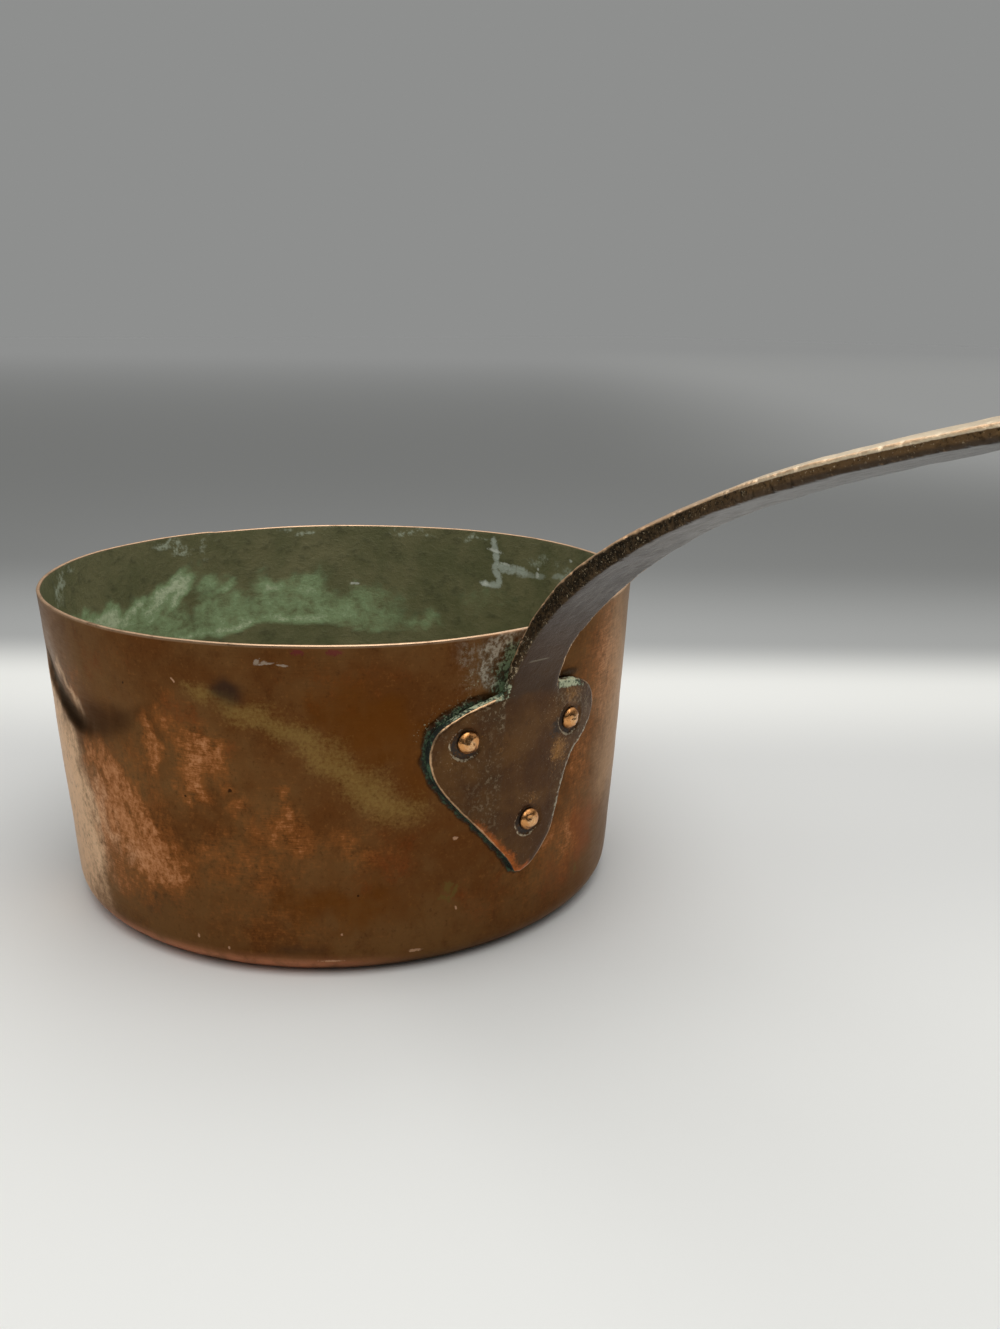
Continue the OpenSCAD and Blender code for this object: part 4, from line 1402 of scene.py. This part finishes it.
# %% The handle's bronze, and the painted grey reflection under the bar
bronze = bpy.data.materials.new("handle_bronze")
p = Paint(bronze)
clouds = p.noise(18, 4, 0.6, 1.0)
mottle = p.noise(4.5, 5, 0.68, 3.0)
fine = p.noise(1.0, 4, 0.7, 6.0)
grit = p.noise(0.55, 3, 0.7, 9.0)
drawn = p.noise((9, 2.2, 9), 5, 0.6, 4.0)
pits = p.noise(1.7, 5, 0.7, 14.0)
flank, upper, is_bar, far, grey_reflection = (p.mask(name) for name in ("flank", "upper", "is_bar", "far", "grey_reflection"))
p.colour = p.mix("4e331d", "644526", p.step(clouds, 0.35, 0.66))
p.coat("382318", p.step(mottle, 0.5, 0.72) * 0.5)
p.coat("413022", is_bar * 0.8)
# A painted grey reflection of the floor under the bar, with painted light and dark streaks.
p.coat(p.mix("453e38", "28231f", far), grey_reflection * 0.87)
reflected_streaks = p.step(drawn + (fine - 0.5) * 0.4, 0.45, 0.75)
p.coat("85807a", grey_reflection * (1 - far * 0.6) * reflected_streaks * (1 - flank) * 0.6)
p.coat("3a3532", grey_reflection * p.step(drawn - (pits - 0.5) * 0.9, 0.5, 0.34) * (1 - flank) * 0.6)
print("grey bar:", len(p.tree.nodes), "nodes")

# %% The plate's warm places, and the bar's sides and top
p.coat("8a5f2e", p.step(mottle + (fine - 0.5) * 0.8, 0.62, 0.85) * (1 - is_bar) * 0.6)
p.coat("a3743f", p.step(p.mask("warm") + (mottle - 0.5) * 1.6 + (fine - 0.5) * 2, 0.4, 1.2) * 0.75)
p.coat("cc6c2e", p.step(p.mask("glow") + (mottle - 0.5) * 1.2 + (fine - 0.5), 0.35, 1.15) * 0.8)
p.coat(p.mix("574631", "7c6040", far), flank * 0.9)
p.coat("1f180f", flank * p.step(pits + (fine - 0.5) * 0.5 - far * 0.12, 0.4, 0.56) * 0.9)
# A painted highlight along the bar's crowned top, paler towards the far end.
top_highlight_tone = p.mix(p.mix("d2a980", "ffe9c6", far), "a97f52", p.mask("crown") * p.step(clouds, 0.2, 0.65))
p.coat(top_highlight_tone, p.step(upper + (fine - 0.5) * 0.5, 0.45, 0.8))
print("sides and top:", len(p.tree.nodes), "nodes")

# %% Glints, bright edges and chalk
shiny = flank | p.mask("warm") * 0.8 | p.mask("grime_and_shadow") * 0.5
glints = p.step(grit + (fine - 0.5) * 0.5, 0.62, 0.72) * shiny
glints = glints | p.step(pits - far * 0.05, 0.61, 0.68) * flank
glints = glints | p.step(pits + (fine - 0.5) * 0.6, 0.53, 0.61) * p.mask("neck")
glints = glints | p.step(grit + (pits - 0.5) * 0.4, 0.62, 0.7) * p.mask("dusty") * 0.55
p.coat("d9c3a0", glints * 0.8)
# Painted highlights along the edges, over some rubbed metal.
lit_and_rubbed_edges = p.mask("plate_edge") | p.mask("top_edge") | p.mask("low_edge") * (p.mask("right") * 0.6 + 0.4)
p.coat("e2b98e", p.step(lit_and_rubbed_edges + (mottle - 0.5) * 1.3 + (fine - 0.5) * 0.4, 0.45, 1.0) * 0.8)
# Chalk, a painted glint and a scratch.
chalk_glint_and_scratch = p.broken("chalk_and_glint", 0.35, 1.0, (fine, 4), (pits, 4)) | p.mask("scratch") * 0.55
p.coat("bdb69f", chalk_glint_and_scratch * 0.75)
print("bright edges:", len(p.tree.nodes), "nodes")

# %% Grime and painted shadow, green, and the handle's gloss
dirt_and_shadow = p.broken("grime_and_shadow", 0.35, 1.0, (fine, 4), (pits, 3))
# Grime and painted shadow round the rivets.
p.coat("221b14", dirt_and_shadow * 0.8)
# Painted highlight on the rims of the hammer marks.
p.coat("c9b99c", p.broken("seat_rim_highlight", 0.4, 0.9, (pits, 5), (fine, 4)) * 0.7)
crusted = p.broken("plate_side", 0.3, 0.6, (mottle, 2))
patina = fine + (mottle - 0.5) * 1.3
p.coat(p.mix("121b13", "4d6a4e", p.step(patina, 0.48, 0.7)), crusted)
minty = p.broken("mint", 0.3, 0.75, (fine, 3.5), (mottle, 3))
p.coat(p.mix("34523c", "cbd2ae", p.step(fine + (mottle - 0.5), 0.42, 0.6)), minty * 0.9)
dull = crusted | dirt_and_shadow * 0.8 | minty * 0.85
relief = p.bump(pits * flank + fine * 0.35 + grit * 0.15 + drawn * 0.3, 0.3)
p.finish(Base_Color=p.colour, Metallic=0.9 - dull * 0.85, Normal=relief,
         Roughness=0.36 + (mottle - 0.5) * 0.25 + (drawn - 0.5) * 0.15 + dull * 0.3 + flank * 0.1)
print(bronze.name, len(p.tree.nodes), "nodes")

# %% The rivets' copper
p = Paint(rivet_finish)
mottle = p.noise(2.6, 4, 0.6, 3.0)
fine = p.noise(0.7, 3, 0.6, 6.0)
worn_high = p.step(p.mask("head_up") + (mottle - 0.5) * 0.6, 0.05, 0.32)
p.colour = p.mix("3a2716", "d99a5f", worn_high)
p.coat("8a5424", p.step(mottle, 0.5, 0.72) * 0.7)
# A painted highlight on the crown of each head.
p.coat("f6cfa0", p.step(p.mask("head_up") + (fine - 0.5), 0.75, 1.1) * 0.6)
inside = p.step(p.mask("inner_up") + (mottle - 0.5) * 0.2, 0.0, 0.3)
p.coat(p.mix("6f7048", "a58a58", p.step(mottle, 0.4, 0.6)), inside)
relief = p.bump(fine, 0.1)
p.finish(Base_Color=p.colour, Metallic=1 - inside * 0.5,
         Roughness=0.4 - worn_high * 0.16 + inside * 0.15, Normal=relief)
print(rivet_finish.name, len(p.tree.nodes), "nodes")

# %% Give the handle its finish, and let the new pieces stand in for the CAD parts
handle.data.materials.clear()
handle.data.materials.append(bronze)
for piece, slot, nodes in ((pan, "pan_copper", ["pan_body"]),
                           (handle, "handle_metal", ["handle"]),
                           (rivets, "rivet_copper", list(RIVETS))):
    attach(piece, "root")
    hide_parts(*nodes)
    print(piece.name, "stands for", ", ".join(nodes), "-", len(piece.data.vertices), "points")

# %% [markdown]
# ## Floor and light
# The photographer laid the pot on a pale sheet that rises behind it. The sheet catches most
# light just before it rises, and turns grey from there on. A plain floor stands in for it: its
# colour paints that light and grey, changing with the distance behind the pot, so nothing stands
# in the way when the pot is looked at from behind. Painted light also makes it paler in front of
# the pot and far back to the right. In front the sheet ends, and copper reflects a darker room.

# %% Lay the floor
FLOOR_REACH, FLOOR_DROP = 9.0, 0.00015
floor_mesh = bpy.data.meshes.new("floor")
corners = [(x * FLOOR_REACH, y * FLOOR_REACH, -FLOOR_DROP) for x, y in ((-1, -1), (1, -1), (1, 1), (-1, 1))]
floor_mesh.from_pydata(corners, [], [(0, 1, 2, 3)])
floor = bpy.data.objects.new("floor", floor_mesh)
bpy.context.scene.collection.objects.link(floor)
print("floor", 2 * FLOOR_REACH, "m square")

# %% Tone the floor by the distance behind the pot
p = Paint(bpy.data.materials.new("pale floor"))
away = (-math.sin(HEADING), math.cos(HEADING), 0)
to_right = (math.cos(HEADING), math.sin(HEADING), 0)
behind, beside = p.along(away), p.along(to_right)
# Painted light on the floor: paler in front of the pot, a bright band behind it, painted grey where the
# sheet rises, and a paler patch far back to the right.
p.colour = p.mix("f0f0ec", "dededb", p.step(behind, -0.16, 0.02))
LIT_AND_SHADED_BANDS = [("f6f6f1", 0.1, 0.23), ("b0b1af", 0.235, 0.34), ("8d8e8c", 0.31, 0.62), ("b3b4b3", 1.0, 6.0)]
for code, start, stop in LIT_AND_SHADED_BANDS:
    p.coat(code, p.step(behind, start, stop))
p.coat("bcbdbb", p.step(beside, 0.15, 1.0) * p.step(behind, 0.7, 1.6) * p.step(behind, 8.0, 4.0))
p.coat("454545", p.step(behind, -0.34, -0.85))
floor_mesh.materials.append(p.finish(Base_Color=p.colour, Roughness=0.8, Specular_IOR_Level=0.2))

# %% [markdown]
# The light is soft from all of the ceiling, and the walls of the room are darker. So the pot
# throws hardly any shadow, and its metal shows dark where it faces the room. One softbox above
# the camera and a small one behind give the rim, the rivets and the handle their bright lines.

# %% Hang the lamp and light the room
def soft_lamp(name, place, aim, size, power):
    """A square soft lamp that looks at a point."""
    data = bpy.data.lights.new(name, "AREA")
    data.size, data.energy = size, power
    lamp = bpy.data.objects.new(name, data)
    bpy.context.scene.collection.objects.link(lamp)
    lamp.location = place
    lamp.rotation_mode = "QUATERNION"
    lamp.rotation_quaternion = (Vector(place) - Vector(aim)).to_track_quat("Z", "Y")


soft_lamp("softbox in front", (0.34, -0.14, 0.9), (0, 0, 0.05), 0.8, 3.6)
soft_lamp("softbox behind", (-0.3, 0.24, 0.7), (0.1, 0, 0.1), 0.5, 0.8)
world = bpy.data.worlds.new("studio")
bpy.context.scene.world = world
p = Paint(world, "Background", "Generated")
up = p.node("ShaderNodeSeparateXYZ", None, {0: p.here}, out=2)
walls = p.mix("3a3a3a", "a2a3a2", p.step(p.along(away), -0.3, 0.4))
p.finish(Color=p.mix(walls, (1, 1, 1, 1), p.step(up, 0.3, 0.75)), Strength=0.75)
bpy.context.scene.view_settings.view_transform = "Standard"
